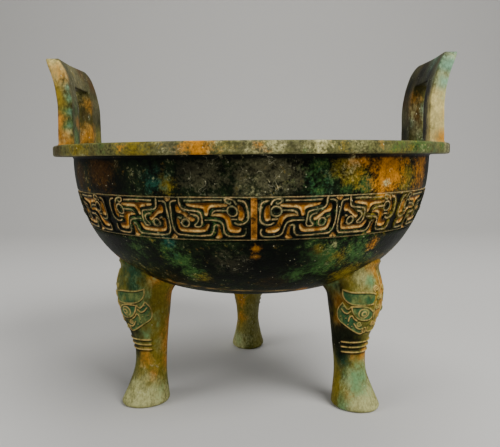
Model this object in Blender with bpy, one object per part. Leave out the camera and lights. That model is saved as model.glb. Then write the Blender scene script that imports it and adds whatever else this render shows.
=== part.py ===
"""Bronze ding: a round cauldron on three hoofed legs, with two upright slotted handles on its flat rim.

The vessel is one casting, so it is modelled as one closed body. Lengths are in metres, +Z is up, and
the origin is on the vessel's axis, on the ground. The front is towards -Y, the handles stand on the
X axis.
"""
import math

import bmesh
import bpy
from mathutils import Vector
from mathutils.geometry import delaunay_2d_cdt

MM = 0.001

# The bowl: heights stack up from the ground as underside, belly and rim.
UNDERSIDE_HEIGHT = 66.0 * MM
BELLY_DEPTH = 82.6 * MM
RIM_THICKNESS = 6.1 * MM
RIM_OVERHANG = 11.2 * MM
NECK_RADIUS = 108.8 * MM
WALL = 5.0 * MM
MOUTH_DEPTH = 12.4 * MM
BELLY_DROP_POWER = 2.16
BELLY_ROUND_POWER = 2.88
EDGE_BREAK = 0.7 * MM

# The frieze: a band of panels, each the mirror image of its neighbours, between two incised lines.
BAND_TOP_BELOW_RIM = 25.4 * MM
BAND_HEIGHT = 21.3 * MM
BAND_LINE_WIDTH = 1.2 * MM
BAND_LINE_DEPTH = 0.6 * MM
PANELS = 16
FRONT_SEAM_TURN = math.radians(0.6)
GROUND_DEPTH = 1.0 * MM
EYE_BOSS_HEIGHT = 0.6 * MM
EYE_BOSS_SIDES = 6

# The legs: oval in section, on a circle that lies inside the neck, at not quite equal bearings.
LEG_BEARINGS = [math.radians(angle) for angle in (93.0, 206.6, 326.1)]
LEG_INSET = 36.9 * MM
MASK_TURN = math.radians(-9)
KNEE_DEPTH = 33.6 * MM
KNEE_WIDTH = 28.4 * MM
SOLE_EDGE_RADIUS = 2.0 * MM
RING_HEIGHT = 0.7 * MM
RING_WIDTH = 1.6 * MM
CARVING_HEIGHT = 1.0 * MM
CARVING_WIDTH = 1.9 * MM
CARVING_ROOT = 1.6 * MM
CARVING_CREST_SHARE = 0.4
NOSE_HEIGHT = 1.2 * MM
NOSE_WIDTH = 3.8 * MM
EYE_RADIUS = 3.1 * MM
EYE_HEIGHT = 1.9 * MM

# The handles: slotted plates, curved a little round the vessel, upright at the mouth and bent outwards
# above the rim. They were made by hand, and the right one is the taller.
RIGHT_HANDLE_HEIGHT = 53.2 * MM
LEFT_HANDLE_HEIGHT = 51.2 * MM
HANDLE_WIDTH = 63.0 * MM
HANDLE_THICKNESS = 9.3 * MM
HANDLE_TOP_THICKNESS = 8.0 * MM
HANDLE_SETBACK = 1.5 * MM
HANDLE_PLAN_RADIUS = 290.0 * MM
HANDLE_SHOULDER_RADIUS = 7.0 * MM
BEND_START = 19.6 * MM
BEND_RADIUS = 69.0 * MM
SLOT_WIDTH = 28.0 * MM
TOP_BAR_HEIGHT = 15.2 * MM
SLOT_CORNER_RADIUS = 2.5 * MM
POST_SHARES = (0.38, 0.6, 0.8, 1.0)
TOP_BAR_SHARES = (0.5, 0.0)

# How finely round forms are divided. The step to a pole is a share of the steps between rings.
PANEL_SEGMENTS = 4
BOWL_SEGMENTS = PANEL_SEGMENTS * PANELS
LOWER_BELLY_RINGS = 6
INNER_RINGS = 5
POLE_STEP_SHARE = 0.6
LEG_SEGMENTS = 12
MERGE_DISTANCE = 1e-6

UNDER_RIM = UNDERSIDE_HEIGHT + BELLY_DEPTH
RIM_TOP = UNDER_RIM + RIM_THICKNESS
BAND_TOP = RIM_TOP - BAND_TOP_BELOW_RIM
BAND_BOTTOM = BAND_TOP - BAND_HEIGHT
PANEL_TURN = 2 * math.pi / PANELS
RIM_RADIUS = NECK_RADIUS + RIM_OVERHANG
LEG_CIRCLE_RADIUS = NECK_RADIUS - LEG_INSET
MOUTH_RADIUS = NECK_RADIUS - WALL
HANDLE_INNER_FACE = MOUTH_RADIUS + HANDLE_SETBACK

# Sections up the leg. Each row is a height as a share of the underside's height, then the section's
# centre beyond the leg circle and its half depth as shares of the knee's depth, and its half width as
# a share of the knee's width: hoof, fetlock, narrowest shin, calf, cheek, brow, knee and root.
LEG_SECTIONS = (
    (0.04, 0.036, 0.432, 0.426),
    (0.18, -0.016, 0.353, 0.349),
    (0.33, -0.067, 0.290, 0.292),
    (0.48, -0.086, 0.283, 0.306),
    (0.64, -0.068, 0.327, 0.377),
    (0.83, -0.016, 0.418, 0.454),
    (1.06, 0.0, 0.500, 0.500),
    (1.36, -0.160, 0.520, 0.500),
)
LEG_SECTION_EASE = 0.4

# Levels between the leg's sections, as shares of the underside's height: along the hoof and the shin,
# at the three rings, and behind the mask.
SHIN_SHARES = (0.12, 0.22, 0.34, 0.46)
RING_SHARES = (0.530, 0.578, 0.625)
RING_REACH = math.radians(88)
MASK_SHARES = (0.73, 0.84, 0.95)

# The beast mask on each knee, one half of it. A point is an angle round the leg from the middle of
# the mask in degrees, and a height as a share of the underside's height.
NOSE = ((0, 1.09), (0, 0.94), (0, 0.79))
MASK_CURVES = {
    "brow": ((13, 1.065), (42, 1.085), (80, 1.15)),
    "horn": ((15, 0.985), (50, 0.99), (80, 1.06)),
    "ear": ((64, 0.955), (90, 0.97), (94, 0.89), (69, 0.825)),
    "snout": ((53, 0.85), (46, 0.77), (18, 0.77)),
}
MASK_EYE = (38, 0.912)

# Sunk grounds of one frieze panel. A point is a share of the panel's width, from the seam where the
# beasts' heads meet, and a share of its height.
PANEL_GROUNDS = (
    ((0.17, 0.83), (0.11, 0.70), (0.11, 0.53), (0.15, 0.46), (0.165, 0.66)),
    ((0.285, 0.85), (0.30, 0.78), (0.48, 0.76), (0.53, 0.58), (0.565, 0.58), (0.585, 0.75),
     (0.765, 0.79), (0.765, 0.85)),
    ((0.68, 0.48), (0.71, 0.43), (0.84, 0.62), (0.905, 0.64), (0.90, 0.80), (0.87, 0.80), (0.79, 0.65)),
    ((0.51, 0.37), (0.545, 0.20), (0.88, 0.20), (0.905, 0.50), (0.875, 0.50), (0.86, 0.28),
     (0.575, 0.28), (0.545, 0.37)),
    ((0.15, 0.21), (0.265, 0.20), (0.315, 0.46), (0.355, 0.55), (0.45, 0.57), (0.44, 0.62),
     (0.31, 0.62), (0.255, 0.36), (0.155, 0.31)),
    ((0.39, 0.36), (0.365, 0.06), (0.46, 0.06), (0.41, 0.36)),
    ((1.0, 0.07), (1.0, 0.93), (0.985, 0.93), (0.985, 0.07)),
)
MOULD_SEAM = ((0.0, 0.07), (0.032, 0.07), (0.032, 0.93), (0.0, 0.93))
MOULD_SEAM_PANELS = (0, PANELS // 2 - 1, PANELS // 2, PANELS - 1)
PANEL_EYE = (0.235, 0.68)
PANEL_EYE_REACH = (0.066, 0.127)


def belly_radius(height, wall=0.0):
    """Radius of the belly at a height, for its outside or for a surface that lies a wall inside it."""
    drop = min(max((UNDER_RIM - height) / (BELLY_DEPTH - wall), 0.0), 1.0)
    return (NECK_RADIUS - wall) * (1 - drop ** BELLY_DROP_POWER) ** (1 / BELLY_ROUND_POWER)


def belly_height(radius, wall=0.0):
    """Height at which the belly has this radius: the inverse of belly_radius."""
    share = min(radius / (NECK_RADIUS - wall), 1.0)
    drop = (1 - share ** BELLY_ROUND_POWER) ** (1 / BELLY_DROP_POWER)
    return UNDER_RIM - (BELLY_DEPTH - wall) * drop


def belly_curve(start_height, rings, wall=0.0):
    """Rings (radius, height) down the belly from a height to just above its lowest point."""
    start = math.asin((UNDER_RIM - start_height) / (BELLY_DEPTH - wall))
    points = []
    for ring in range(1, rings + 1):
        turn = start + (math.pi / 2 - start) * ring / (rings + POLE_STEP_SHARE)
        height = UNDER_RIM - (BELLY_DEPTH - wall) * math.sin(turn)
        points.append((belly_radius(height, wall), height))
    return points


def polar(radius, angle, height):
    """A point at an angle from the front seam, turning from -Y towards +X."""
    turn = angle + FRONT_SEAM_TURN
    return Vector((radius * math.sin(turn), -radius * math.cos(turn), height))


def add_ring(bm, radius, height):
    """One level ring of vertices round the vessel."""
    step = 2 * math.pi / BOWL_SEGMENTS
    return [bm.verts.new(polar(radius, step * i, height)) for i in range(BOWL_SEGMENTS)]


def join_rings(bm, first, second):
    """A strip of quads between two closed rings of as many vertices."""
    count = len(first)
    for i in range(count):
        j = (i + 1) % count
        bm.faces.new((first[i], first[j], second[j], second[i]))


def close_ring(bm, ring, centre):
    """A fan of triangles from a ring to its centre point."""
    middle = bm.verts.new(centre)
    for i, vertex in enumerate(ring):
        bm.faces.new((vertex, ring[(i + 1) % len(ring)], middle))


def add_lathe(bm, profile, pole_height=None):
    """Rings along a profile of (radius, height) points, closed with a pole where one is given."""
    rings = [add_ring(bm, radius, height) for radius, height in profile]
    for first, second in zip(rings, rings[1:]):
        join_rings(bm, first, second)
    if pole_height is not None:
        close_ring(bm, rings[-1], Vector((0, 0, pole_height)))


def panel_outlines(index):
    """Outlines of one panel for the triangulation: the panel, its raised eye and its sunk grounds."""
    steps = [i / PANEL_SEGMENTS for i in range(PANEL_SEGMENTS + 1)]
    border = [(across, 0.0) for across in steps] + [(1 - across, 1.0) for across in steps]
    eye = []
    for i in range(EYE_BOSS_SIDES):
        turn = 2 * math.pi * i / EYE_BOSS_SIDES
        eye.append((PANEL_EYE[0] + PANEL_EYE_REACH[0] * math.cos(turn),
                    PANEL_EYE[1] + PANEL_EYE_REACH[1] * math.sin(turn)))
    grounds = list(PANEL_GROUNDS)
    if index in MOULD_SEAM_PANELS:
        grounds.append(MOULD_SEAM)
    return [border, eye, *grounds]


def add_panel(bm, index):
    """One frieze panel: its outlines triangulated flat, laid on the belly, each part at its own level."""
    outlines = panel_outlines(index)
    flat = [Vector(point) for outline in outlines for point in outline]
    faces, start = [], 0
    for outline in outlines:
        faces.append(list(range(start, start + len(outline))))
        start += len(outline)
    points, _, triangles, _, _, owners = delaunay_2d_cdt(flat, [], faces, 0, 1e-5)

    heads_first = index % 2 == 0
    inner_top = BAND_TOP - BAND_LINE_WIDTH / 2
    inner_bottom = BAND_BOTTOM + BAND_LINE_WIDTH / 2
    made = {}

    def corner(number, lift):
        key = (number, lift)
        if key not in made:
            across, up = points[number]
            turn = PANEL_TURN * (index + (across if heads_first else 1 - across))
            height = inner_bottom + (inner_top - inner_bottom) * up
            made[key] = bm.verts.new(polar(belly_radius(height) + lift, turn, height))
        return made[key]

    sides = {}
    for triangle, owner in zip(triangles, owners):
        if max(owner) >= 2:
            lift = -GROUND_DEPTH
        elif 1 in owner:
            lift = EYE_BOSS_HEIGHT
        else:
            lift = 0.0
        bm.faces.new([corner(number, lift) for number in triangle])
        for a, b in zip(triangle, triangle[1:] + triangle[:1]):
            sides.setdefault(frozenset((a, b)), []).append(lift)
    for edge, lifts in sides.items():
        if len(lifts) == 2 and lifts[0] != lifts[1]:
            a, b = edge
            low, high = lifts
            bm.faces.new((corner(a, low), corner(b, low), corner(b, high), corner(a, high)))


def incised_line(height):
    """The lip, bottom and lip of a line cut round the belly, from top to bottom."""
    half = BAND_LINE_WIDTH / 2
    return [(belly_radius(height + half), height + half),
            (belly_radius(height) - BAND_LINE_DEPTH, height),
            (belly_radius(height - half), height - half)]


def make_bowl():
    """The hollow bowl with its flat rim and its frieze, as one closed mesh."""
    bm = bmesh.new()
    inner_start = UNDER_RIM - MOUTH_DEPTH
    rim_and_neck = [
        (MOUTH_RADIUS, RIM_TOP),
        (RIM_RADIUS - EDGE_BREAK, RIM_TOP),
        (RIM_RADIUS, RIM_TOP - EDGE_BREAK),
        (RIM_RADIUS, UNDER_RIM + EDGE_BREAK),
        (RIM_RADIUS - EDGE_BREAK, UNDER_RIM),
        (NECK_RADIUS, UNDER_RIM),
    ]
    inside = [(belly_radius(inner_start, WALL), inner_start)]
    inside += belly_curve(inner_start, INNER_RINGS - 1, WALL)
    lower_belly = belly_curve(BAND_BOTTOM - BAND_LINE_WIDTH / 2, LOWER_BELLY_RINGS)

    add_lathe(bm, [rim_and_neck[0]] + inside, UNDERSIDE_HEIGHT + WALL)
    add_lathe(bm, rim_and_neck + incised_line(BAND_TOP))
    add_lathe(bm, incised_line(BAND_BOTTOM) + lower_belly, UNDERSIDE_HEIGHT)
    for index in range(PANELS):
        add_panel(bm, index)
    bmesh.ops.remove_doubles(bm, verts=bm.verts, dist=MERGE_DISTANCE)
    bmesh.ops.recalc_face_normals(bm, faces=bm.faces)
    return bm


def blend(rows, height):
    """Values between rows of (height, values...), eased by a smooth step so that no section kinks."""
    if height <= rows[0][0]:
        return rows[0][1:]
    for low, high in zip(rows, rows[1:]):
        if height <= high[0]:
            share = (height - low[0]) / (high[0] - low[0])
            share += (share * share * (3 - 2 * share) - share) * LEG_SECTION_EASE
            return [a + (b - a) * share for a, b in zip(low[1:], high[1:])]
    return rows[-1][1:]


def leg_section(height):
    """Centre, half depth and half width of the leg at a height, the leg standing out along +X."""
    centre, depth, width = blend(LEG_SECTIONS, height / UNDERSIDE_HEIGHT)
    return LEG_CIRCLE_RADIUS + centre * KNEE_DEPTH, depth * KNEE_DEPTH, width * KNEE_WIDTH


def leg_point(angle, height, lift=0.0):
    """A point on the leg's skin, lifted off it along the section's own normal."""
    centre, depth, width = leg_section(height)
    point = Vector((centre + depth * math.cos(angle), width * math.sin(angle), height))
    return point + leg_normal(angle, height) * lift


def leg_normal(angle, height):
    """Outward direction of the leg's section at an angle, kept level."""
    _, depth, width = leg_section(height)
    return Vector((math.cos(angle) / depth, math.sin(angle) / width, 0)).normalized()


def leg_root(angle):
    """Height where the leg's skin meets the middle of the bowl's wall."""
    height = UNDERSIDE_HEIGHT
    for _ in range(12):
        point = leg_point(angle, height)
        height = belly_height(math.hypot(point.x, point.y), WALL / 2)
    return height


def leg_levels():
    """Levels up the leg, from the sole to the brow, as (height, lift in front, lift behind)."""
    levels = []
    for turn in (0, math.pi / 4, math.pi / 2):
        inset = SOLE_EDGE_RADIUS * (1 - math.sin(turn))
        levels.append((SOLE_EDGE_RADIUS * (1 - math.cos(turn)), -inset, -inset))
    levels += [(share * UNDERSIDE_HEIGHT, 0.0, 0.0) for share in SHIN_SHARES]
    for share in RING_SHARES:
        height = share * UNDERSIDE_HEIGHT
        levels.append((height - RING_WIDTH / 2, 0.0, 0.0))
        levels.append((height, RING_HEIGHT, 0.0))
        levels.append((height + RING_WIDTH / 2, 0.0, 0.0))
    levels += [(share * UNDERSIDE_HEIGHT, 0.0, 0.0) for share in MASK_SHARES]
    return levels


def make_leg():
    """One leg along +X: a loft of ovals from a flat sole, past three rings, into the wall of the bowl."""
    bm = bmesh.new()
    turns = [2 * math.pi * i / LEG_SEGMENTS for i in range(LEG_SEGMENTS)]
    angles = [turn + MASK_TURN for turn in turns]
    in_front = [abs(math.remainder(turn, 2 * math.pi)) <= RING_REACH for turn in turns]
    roots = [leg_root(angle) for angle in angles]
    rings = []
    for height, front_lift, back_lift in leg_levels():
        rings.append([bm.verts.new(leg_point(angle, height, front_lift if front else back_lift))
                      for angle, front in zip(angles, in_front)])
    last = leg_levels()[-1][0]
    for share in (0.5, 1.0):
        rings.append([bm.verts.new(leg_point(angle, last + (root - last) * share))
                      for angle, root in zip(angles, roots)])
    for first, second in zip(rings, rings[1:]):
        join_rings(bm, first, second)
    bm.faces.new(rings[0])
    middle = leg_section(UNDERSIDE_HEIGHT)[0]
    close_ring(bm, rings[-1], Vector((middle, 0, belly_height(middle, WALL / 2))))
    bmesh.ops.recalc_face_normals(bm, faces=bm.faces)
    return bm


def add_bar(bm, path, width, lift):
    """A raised moulding along a path of (angle, height) on the leg, rooted below the skin."""
    points = [leg_point(angle, height) for angle, height in path]
    normals = [leg_normal(angle, height) for angle, height in path]
    sections = []
    for i, (point, normal) in enumerate(zip(points, normals)):
        along = points[min(i + 1, len(points) - 1)] - points[max(i - 1, 0)]
        side = normal.cross(along).normalized() * width / 2
        root = point - normal * CARVING_ROOT
        crest = point + normal * lift
        crest_side = side * CARVING_CREST_SHARE
        corners = (root - side, crest - crest_side, crest + crest_side, root + side)
        sections.append([bm.verts.new(corner) for corner in corners])
    for first, second in zip(sections, sections[1:]):
        join_rings(bm, first, second)
    bm.faces.new(sections[0])
    bm.faces.new(sections[-1])


def add_eye(bm, angle, height):
    """A domed eye on the leg's skin."""
    normal = leg_normal(angle, height)
    turn = normal.to_track_quat("Z", "Y").to_matrix().to_4x4()
    turn.translation = leg_point(angle, height)
    eye = bmesh.ops.create_uvsphere(bm, u_segments=6, v_segments=4, radius=EYE_RADIUS)
    flatten = EYE_HEIGHT / EYE_RADIUS
    for vertex in eye["verts"]:
        vertex.co = turn @ Vector((vertex.co.x, vertex.co.y, vertex.co.z * flatten))


def make_mask():
    """The raised carving of the beast mask on the leg along +X. Its mouldings keep clear of each other."""
    bm = bmesh.new()

    def on_leg(points, side):
        return [(MASK_TURN + math.radians(angle) * side, share * UNDERSIDE_HEIGHT)
                for angle, share in points]

    add_bar(bm, on_leg(NOSE, 1), NOSE_WIDTH, NOSE_HEIGHT)
    for side in (-1, 1):
        for points in MASK_CURVES.values():
            add_bar(bm, on_leg(points, side), CARVING_WIDTH, CARVING_HEIGHT)
    bmesh.ops.recalc_face_normals(bm, faces=bm.faces)
    for side in (-1, 1):
        add_eye(bm, *on_leg([MASK_EYE], side)[0])
    return bm


def bend(height):
    """How far the handle leans outwards at a height above the rim: an arc above its straight foot."""
    rise = max(height - BEND_START, 0.0)
    return BEND_RADIUS - math.sqrt(max(BEND_RADIUS ** 2 - rise ** 2, 0.0))


def handle_outlines(top):
    """Half of the outer outline and of the slot of a handle of this height, point for point, from the foot
    to the middle."""
    half = HANDLE_WIDTH / 2
    slot, slot_top = SLOT_WIDTH / 2, top - TOP_BAR_HEIGHT
    foot = -RIM_THICKNESS / 2
    shoulder, corner = HANDLE_SHOULDER_RADIUS, SLOT_CORNER_RADIUS
    outer, inner = [(half, foot)], [(slot, foot)]
    for share in POST_SHARES:
        outer.append((half, (top - shoulder) * share))
        inner.append((slot, (slot_top - corner) * share))
    for step in (1, 2, 3):
        turn = math.pi / 2 * step / 3
        across, up = 1 - math.cos(turn), 1 - math.sin(turn)
        outer.append((half - shoulder * across, top - shoulder * up))
        inner.append((slot - corner * across, slot_top - corner * up))
    for share in TOP_BAR_SHARES:
        outer.append(((half - shoulder) * share, top))
        inner.append(((slot - corner) * share, slot_top))
    return outer, inner


def handle_point(across, height, share, outside):
    """A point on the inner or outer face of a handle at +X, at a share of the way up its height."""
    thickness = HANDLE_THICKNESS + (HANDLE_TOP_THICKNESS - HANDLE_THICKNESS) * share
    face = HANDLE_INNER_FACE - across ** 2 / (2 * HANDLE_PLAN_RADIUS) + bend(height)
    return Vector((face + (thickness if outside else 0.0), across, RIM_TOP + height))


def make_handle(top):
    """One handle at +X: a loft of its four-cornered section up one post, over the slot and down."""
    bm = bmesh.new()
    outer, inner = handle_outlines(top)
    outer += [(-across, height) for across, height in reversed(outer[:-1])]
    inner += [(-across, height) for across, height in reversed(inner[:-1])]
    sections = []
    for edge, slot in zip(outer, inner):
        edge_share, slot_share = max(edge[1], 0.0) / top, max(slot[1], 0.0) / top
        corners = (handle_point(*edge, edge_share, False), handle_point(*edge, edge_share, True),
                   handle_point(*slot, slot_share, True), handle_point(*slot, slot_share, False))
        sections.append([bm.verts.new(corner) for corner in corners])
    for first, second in zip(sections, sections[1:]):
        join_rings(bm, first, second)
    bm.faces.new(sections[0])
    bm.faces.new(sections[-1])
    bmesh.ops.recalc_face_normals(bm, faces=bm.faces)
    return bm


def make_material():
    """Cast bronze under a dark green patina."""
    material = bpy.data.materials.new("patinated_bronze")
    material.use_nodes = True
    shader = material.node_tree.nodes["Principled BSDF"]
    shader.inputs["Base Color"].default_value = (0.045, 0.06, 0.03, 1)
    shader.inputs["Metallic"].default_value = 0.3
    shader.inputs["Roughness"].default_value = 0.45
    return material


def make_object(name, bm, turn=0.0):
    """An object from a mesh, turned about the vessel's axis. Its faces are made flat for the unions."""
    bmesh.ops.triangulate(bm, faces=bm.faces)
    mesh = bpy.data.meshes.new(name)
    bm.to_mesh(mesh)
    bm.free()
    made = bpy.data.objects.new(name, mesh)
    made.rotation_euler.z = turn
    bpy.context.scene.collection.objects.link(made)
    return made


def fuse(body, piece):
    """Cast a piece onto the body: a live union, with the piece kept as a guide."""
    piece.hide_render = True
    piece.display_type = "WIRE"
    union = body.modifiers.new("with_" + piece.name, "BOOLEAN")
    union.operation = "UNION"
    union.solver = "EXACT"
    union.object = piece


for existing in list(bpy.data.objects):
    bpy.data.objects.remove(existing)

vessel = make_object("ding_vessel", make_bowl())
vessel.data.materials.append(make_material())
for side, turn, height in (("right", 0.0, RIGHT_HANDLE_HEIGHT), ("left", math.pi, LEFT_HANDLE_HEIGHT)):
    fuse(vessel, make_object("handle_" + side, make_handle(height), turn))
for position, bearing in zip(("back", "front_left", "front_right"), LEG_BEARINGS):
    leg = make_object("leg_" + position, make_leg(), bearing)
    fuse(leg, make_object("mask_" + position, make_mask(), bearing))
    fuse(vessel, leg)
vessel.data.shade_smooth()
vessel.data.set_sharp_from_angle(angle=math.radians(35))
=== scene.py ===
"""The looks of a bronze ding: a round cauldron on three hoofed legs, with two upright slotted handles.

Lengths are in metres, or in millimetres where a name or a comment says so. +Z is up, the front is
towards -Y, and the handles stand on the X axis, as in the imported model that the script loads.
"""
import math

import bpy
import numpy as np
from mathutils import Matrix


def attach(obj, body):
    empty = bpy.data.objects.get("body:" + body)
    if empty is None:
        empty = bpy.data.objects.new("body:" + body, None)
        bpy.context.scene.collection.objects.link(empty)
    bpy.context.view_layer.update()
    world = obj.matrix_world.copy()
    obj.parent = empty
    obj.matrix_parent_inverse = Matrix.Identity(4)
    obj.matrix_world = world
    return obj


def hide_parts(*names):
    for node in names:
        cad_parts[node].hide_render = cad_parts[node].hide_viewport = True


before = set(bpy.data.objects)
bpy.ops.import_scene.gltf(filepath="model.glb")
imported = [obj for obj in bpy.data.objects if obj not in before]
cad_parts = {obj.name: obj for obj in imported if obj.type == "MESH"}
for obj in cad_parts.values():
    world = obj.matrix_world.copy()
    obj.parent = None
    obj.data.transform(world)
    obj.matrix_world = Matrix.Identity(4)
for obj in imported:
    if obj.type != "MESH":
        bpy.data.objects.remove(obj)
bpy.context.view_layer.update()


# The camera: held close in front of the vessel, a little below the rim's height and tilted down, so
# that the near legs look larger and stand lower in the picture than the far one.
IMAGE_WIDTH_PX = 500
FOCAL_LENGTH_PX = 568.8
SENSOR_WIDTH_MM = 36.0
CAMERA_PLACE = (0.0, -0.3668, 0.1465)
CAMERA_PITCH = math.radians(6.47)
CAMERA_YAW = math.radians(-0.18)
CAMERA_ROLL = math.radians(-0.48)
CAMERA_CLIP_START = 0.01

camera_data = bpy.data.cameras.new("camera")
camera_data.sensor_width = SENSOR_WIDTH_MM
camera_data.lens = FOCAL_LENGTH_PX * SENSOR_WIDTH_MM / IMAGE_WIDTH_PX
camera_data.clip_start = CAMERA_CLIP_START
camera = bpy.data.objects.new("camera", camera_data)
camera.matrix_world = (
    Matrix.Translation(CAMERA_PLACE)
    @ Matrix.Rotation(-CAMERA_YAW, 4, "Z")
    @ Matrix.Rotation(math.pi / 2 - CAMERA_PITCH, 4, "X")
    @ Matrix.Rotation(CAMERA_ROLL, 4, "Z")
)
bpy.context.scene.collection.objects.link(camera)
bpy.context.scene.camera = camera


# The floor: a sheet of matt pale paper that lies flat under the vessel and sweeps up behind it, so
# that no edge or corner shows.
PAPER_HALF_WIDTH = 1.6
PAPER_FRONT = -1.4
PAPER_BACK = 0.75
PAPER_BEND_RADIUS = 0.5
PAPER_HEIGHT = 1.4
PAPER_BEND_POINTS = 17
PAPER_COLOUR = "#C9C7C2"
PAPER_ROUGHNESS = 0.9


def linear(colour):
    """The linear colour of an sRGB hex value, each channel by the sRGB transfer curve, with alpha 1."""
    channels = [int(colour[i:i + 2], 16) / 255 for i in (1, 3, 5)]
    return [c / 12.92 if c <= 0.04045 else ((c + 0.055) / 1.055) ** 2.4 for c in channels] + [1.0]


def add_node(tree, kind, inputs=(), **settings):
    """Adds a node. An input's value is either a number or colour to set, or a socket to link to."""
    made = tree.nodes.new(kind)
    for name, value in settings.items():
        setattr(made, name, value)
    for name, value in dict(inputs).items():
        if isinstance(value, bpy.types.NodeSocket):
            tree.links.new(value, made.inputs[name])
        else:
            made.inputs[name].default_value = value
    return made


def new_material(name):
    """An empty material and its Principled shader, joined to the output."""
    material = bpy.data.materials.new(name)
    material.use_nodes = True
    material.node_tree.nodes.clear()
    shader = add_node(material.node_tree, "ShaderNodeBsdfPrincipled")
    add_node(material.node_tree, "ShaderNodeOutputMaterial", {"Surface": shader.outputs["BSDF"]})
    return material, shader


def paper_sweep():
    """A flat sheet, a quarter round and a flat back, extruded across the view."""
    turn = np.linspace(0, math.pi / 2, PAPER_BEND_POINTS)
    along = np.concatenate([[PAPER_FRONT], PAPER_BACK + PAPER_BEND_RADIUS * np.sin(turn),
                            [PAPER_BACK + PAPER_BEND_RADIUS]])
    up = np.concatenate([[0.0], PAPER_BEND_RADIUS * (1 - np.cos(turn)), [PAPER_HEIGHT]])
    left = np.stack([np.full_like(along, -PAPER_HALF_WIDTH), along, up], -1)
    right = left * (-1, 1, 1)
    count = len(along)
    first = np.arange(count - 1)
    faces = np.stack([first, first + count, first + count + 1, first + 1], -1)
    mesh = bpy.data.meshes.new("paper_floor")
    mesh.from_pydata(np.concatenate([left, right]).tolist(), [], faces.tolist())
    mesh.shade_smooth()
    return mesh


paper, paper_shader = new_material("matt_paper")
paper_shader.inputs["Base Color"].default_value = linear(PAPER_COLOUR)
paper_shader.inputs["Roughness"].default_value = PAPER_ROUGHNESS
floor = bpy.data.objects.new("paper_floor", paper_sweep())
floor.data.materials.append(paper)
bpy.context.scene.collection.objects.link(floor)


# The light: one large soft box in front and above on the right, so that the handle there turns its
# bright edge and its dark inner face to the camera, a weak fill on the left, a weak one above behind,
# and a dim surround. Each box has its place, its diameter and its power in watts.
SOFT_BOXES = (
    ("key", (0.62, -0.72, 1.0), 0.8, 19.0),
    ("fill", (-0.95, -0.5, 0.6), 0.7, 5.0),
    ("top", (0.1, 0.35, 1.25), 0.9, 8.0),
)
LIGHT_TARGET = (0.0, 0.0, 0.1)
SURROUND_COLOUR = "#8C8E92"
SURROUND_STRENGTH = 0.55


def aim(place, target):
    """A matrix that puts a light at a place, with its -Z axis towards the target."""
    back = np.subtract(place, target)
    back = back / np.linalg.norm(back)
    side = np.cross((0.0, 0.0, 1.0), back)
    side = side / np.linalg.norm(side)
    rows = np.eye(4)
    rows[:3, 0], rows[:3, 1], rows[:3, 2], rows[:3, 3] = side, np.cross(back, side), back, place
    return Matrix(rows.tolist())


for name, place, size, power in SOFT_BOXES:
    light = bpy.data.lights.new(name, "AREA")
    light.shape = "DISK"
    light.size = size
    light.energy = power
    lamp = bpy.data.objects.new(name, light)
    lamp.matrix_world = aim(place, LIGHT_TARGET)
    bpy.context.scene.collection.objects.link(lamp)
surround = bpy.data.worlds.new("surround")
surround.use_nodes = True
background = surround.node_tree.nodes["Background"]
background.inputs["Color"].default_value = linear(SURROUND_COLOUR)
background.inputs["Strength"].default_value = SURROUND_STRENGTH
bpy.context.scene.world = surround


# The bowl: cast bronze, 5 mm thick, with a flat rim that stands out from its neck. Its mould left it
# slightly uneven, and the casting's edges were filed round.
MM = 0.001
UNDERSIDE_HEIGHT = 66.0 * MM
BELLY_DEPTH = 82.6 * MM
RIM_THICKNESS = 6.1 * MM
NECK_RADIUS = 108.8 * MM
WALL = 5.0 * MM
BELLY_DROP_POWER = 2.16
BELLY_ROUND_POWER = 2.88
MOUTH_EDGE_RADIUS = 0.9 * MM
RIM_EDGE_RADIUS = 1.3 * MM
NECK_FILLET_RADIUS = 1.5 * MM
RIM_OVERHANG = 11.2 * MM
RIM_RADIUS = NECK_RADIUS + RIM_OVERHANG
UNDER_RIM = UNDERSIDE_HEIGHT + BELLY_DEPTH
RIM_TOP = UNDER_RIM + RIM_THICKNESS
MOUTH_RADIUS = NECK_RADIUS - WALL
BAND_TOP = RIM_TOP - 25.4 * MM
BAND_BOTTOM = BAND_TOP - 21.3 * MM
BAND_LINE_WIDTH = 1.2 * MM
BAND_LINE_DEPTH = 0.6 * MM
BAND_SEAT_DEPTH = 2.6 * MM
BOWL_COLUMNS = 640
INSIDE_ROWS = 30
NECK_ROWS = 16
BELLY_ROWS = 44
UNEVENNESS = 0.22 * MM


def belly_radius(height, wall=0.0):
    """Radius at a height: the neck's radius times (1 - drop ^ p) ^ (1 / q), drop being 0 to 1 downwards."""
    drop = np.clip((UNDER_RIM - height) / (BELLY_DEPTH - wall), 0.0, 1.0)
    return (NECK_RADIUS - wall) * (1 - drop ** BELLY_DROP_POWER) ** (1 / BELLY_ROUND_POWER)


def belly_height(radius, wall=0.0):
    """The inverse of belly_radius."""
    share = np.clip(radius / (NECK_RADIUS - wall), 0.0, 1.0)
    drop = (1 - share ** BELLY_ROUND_POWER) ** (1 / BELLY_DROP_POWER)
    return UNDER_RIM - (BELLY_DEPTH - wall) * drop


def belly_curve(top, rows, wall=0.0):
    """Points down the belly from a height to near its pole, at equal turns of an ellipse's parameter."""
    start = math.asin((UNDER_RIM - top) / (BELLY_DEPTH - wall))
    turn = np.linspace(start, math.pi / 2, rows, endpoint=False)
    height = UNDER_RIM - (BELLY_DEPTH - wall) * np.sin(turn)
    return np.stack([belly_radius(height, wall), height], -1)


def arc(centre, radius, start, end, steps=5):
    """Points on a circle from one angle to another, in degrees."""
    turn = np.radians(np.linspace(start, end, steps))
    return np.stack([centre[0] + radius * np.cos(turn), centre[1] + radius * np.sin(turn)], -1)


def straight(start, end, steps):
    """Points between two ends, which are left out."""
    share = np.linspace(0, 1, steps + 2)[1:-1, None]
    return np.array(start) * (1 - share) + np.array(end) * share


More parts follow.
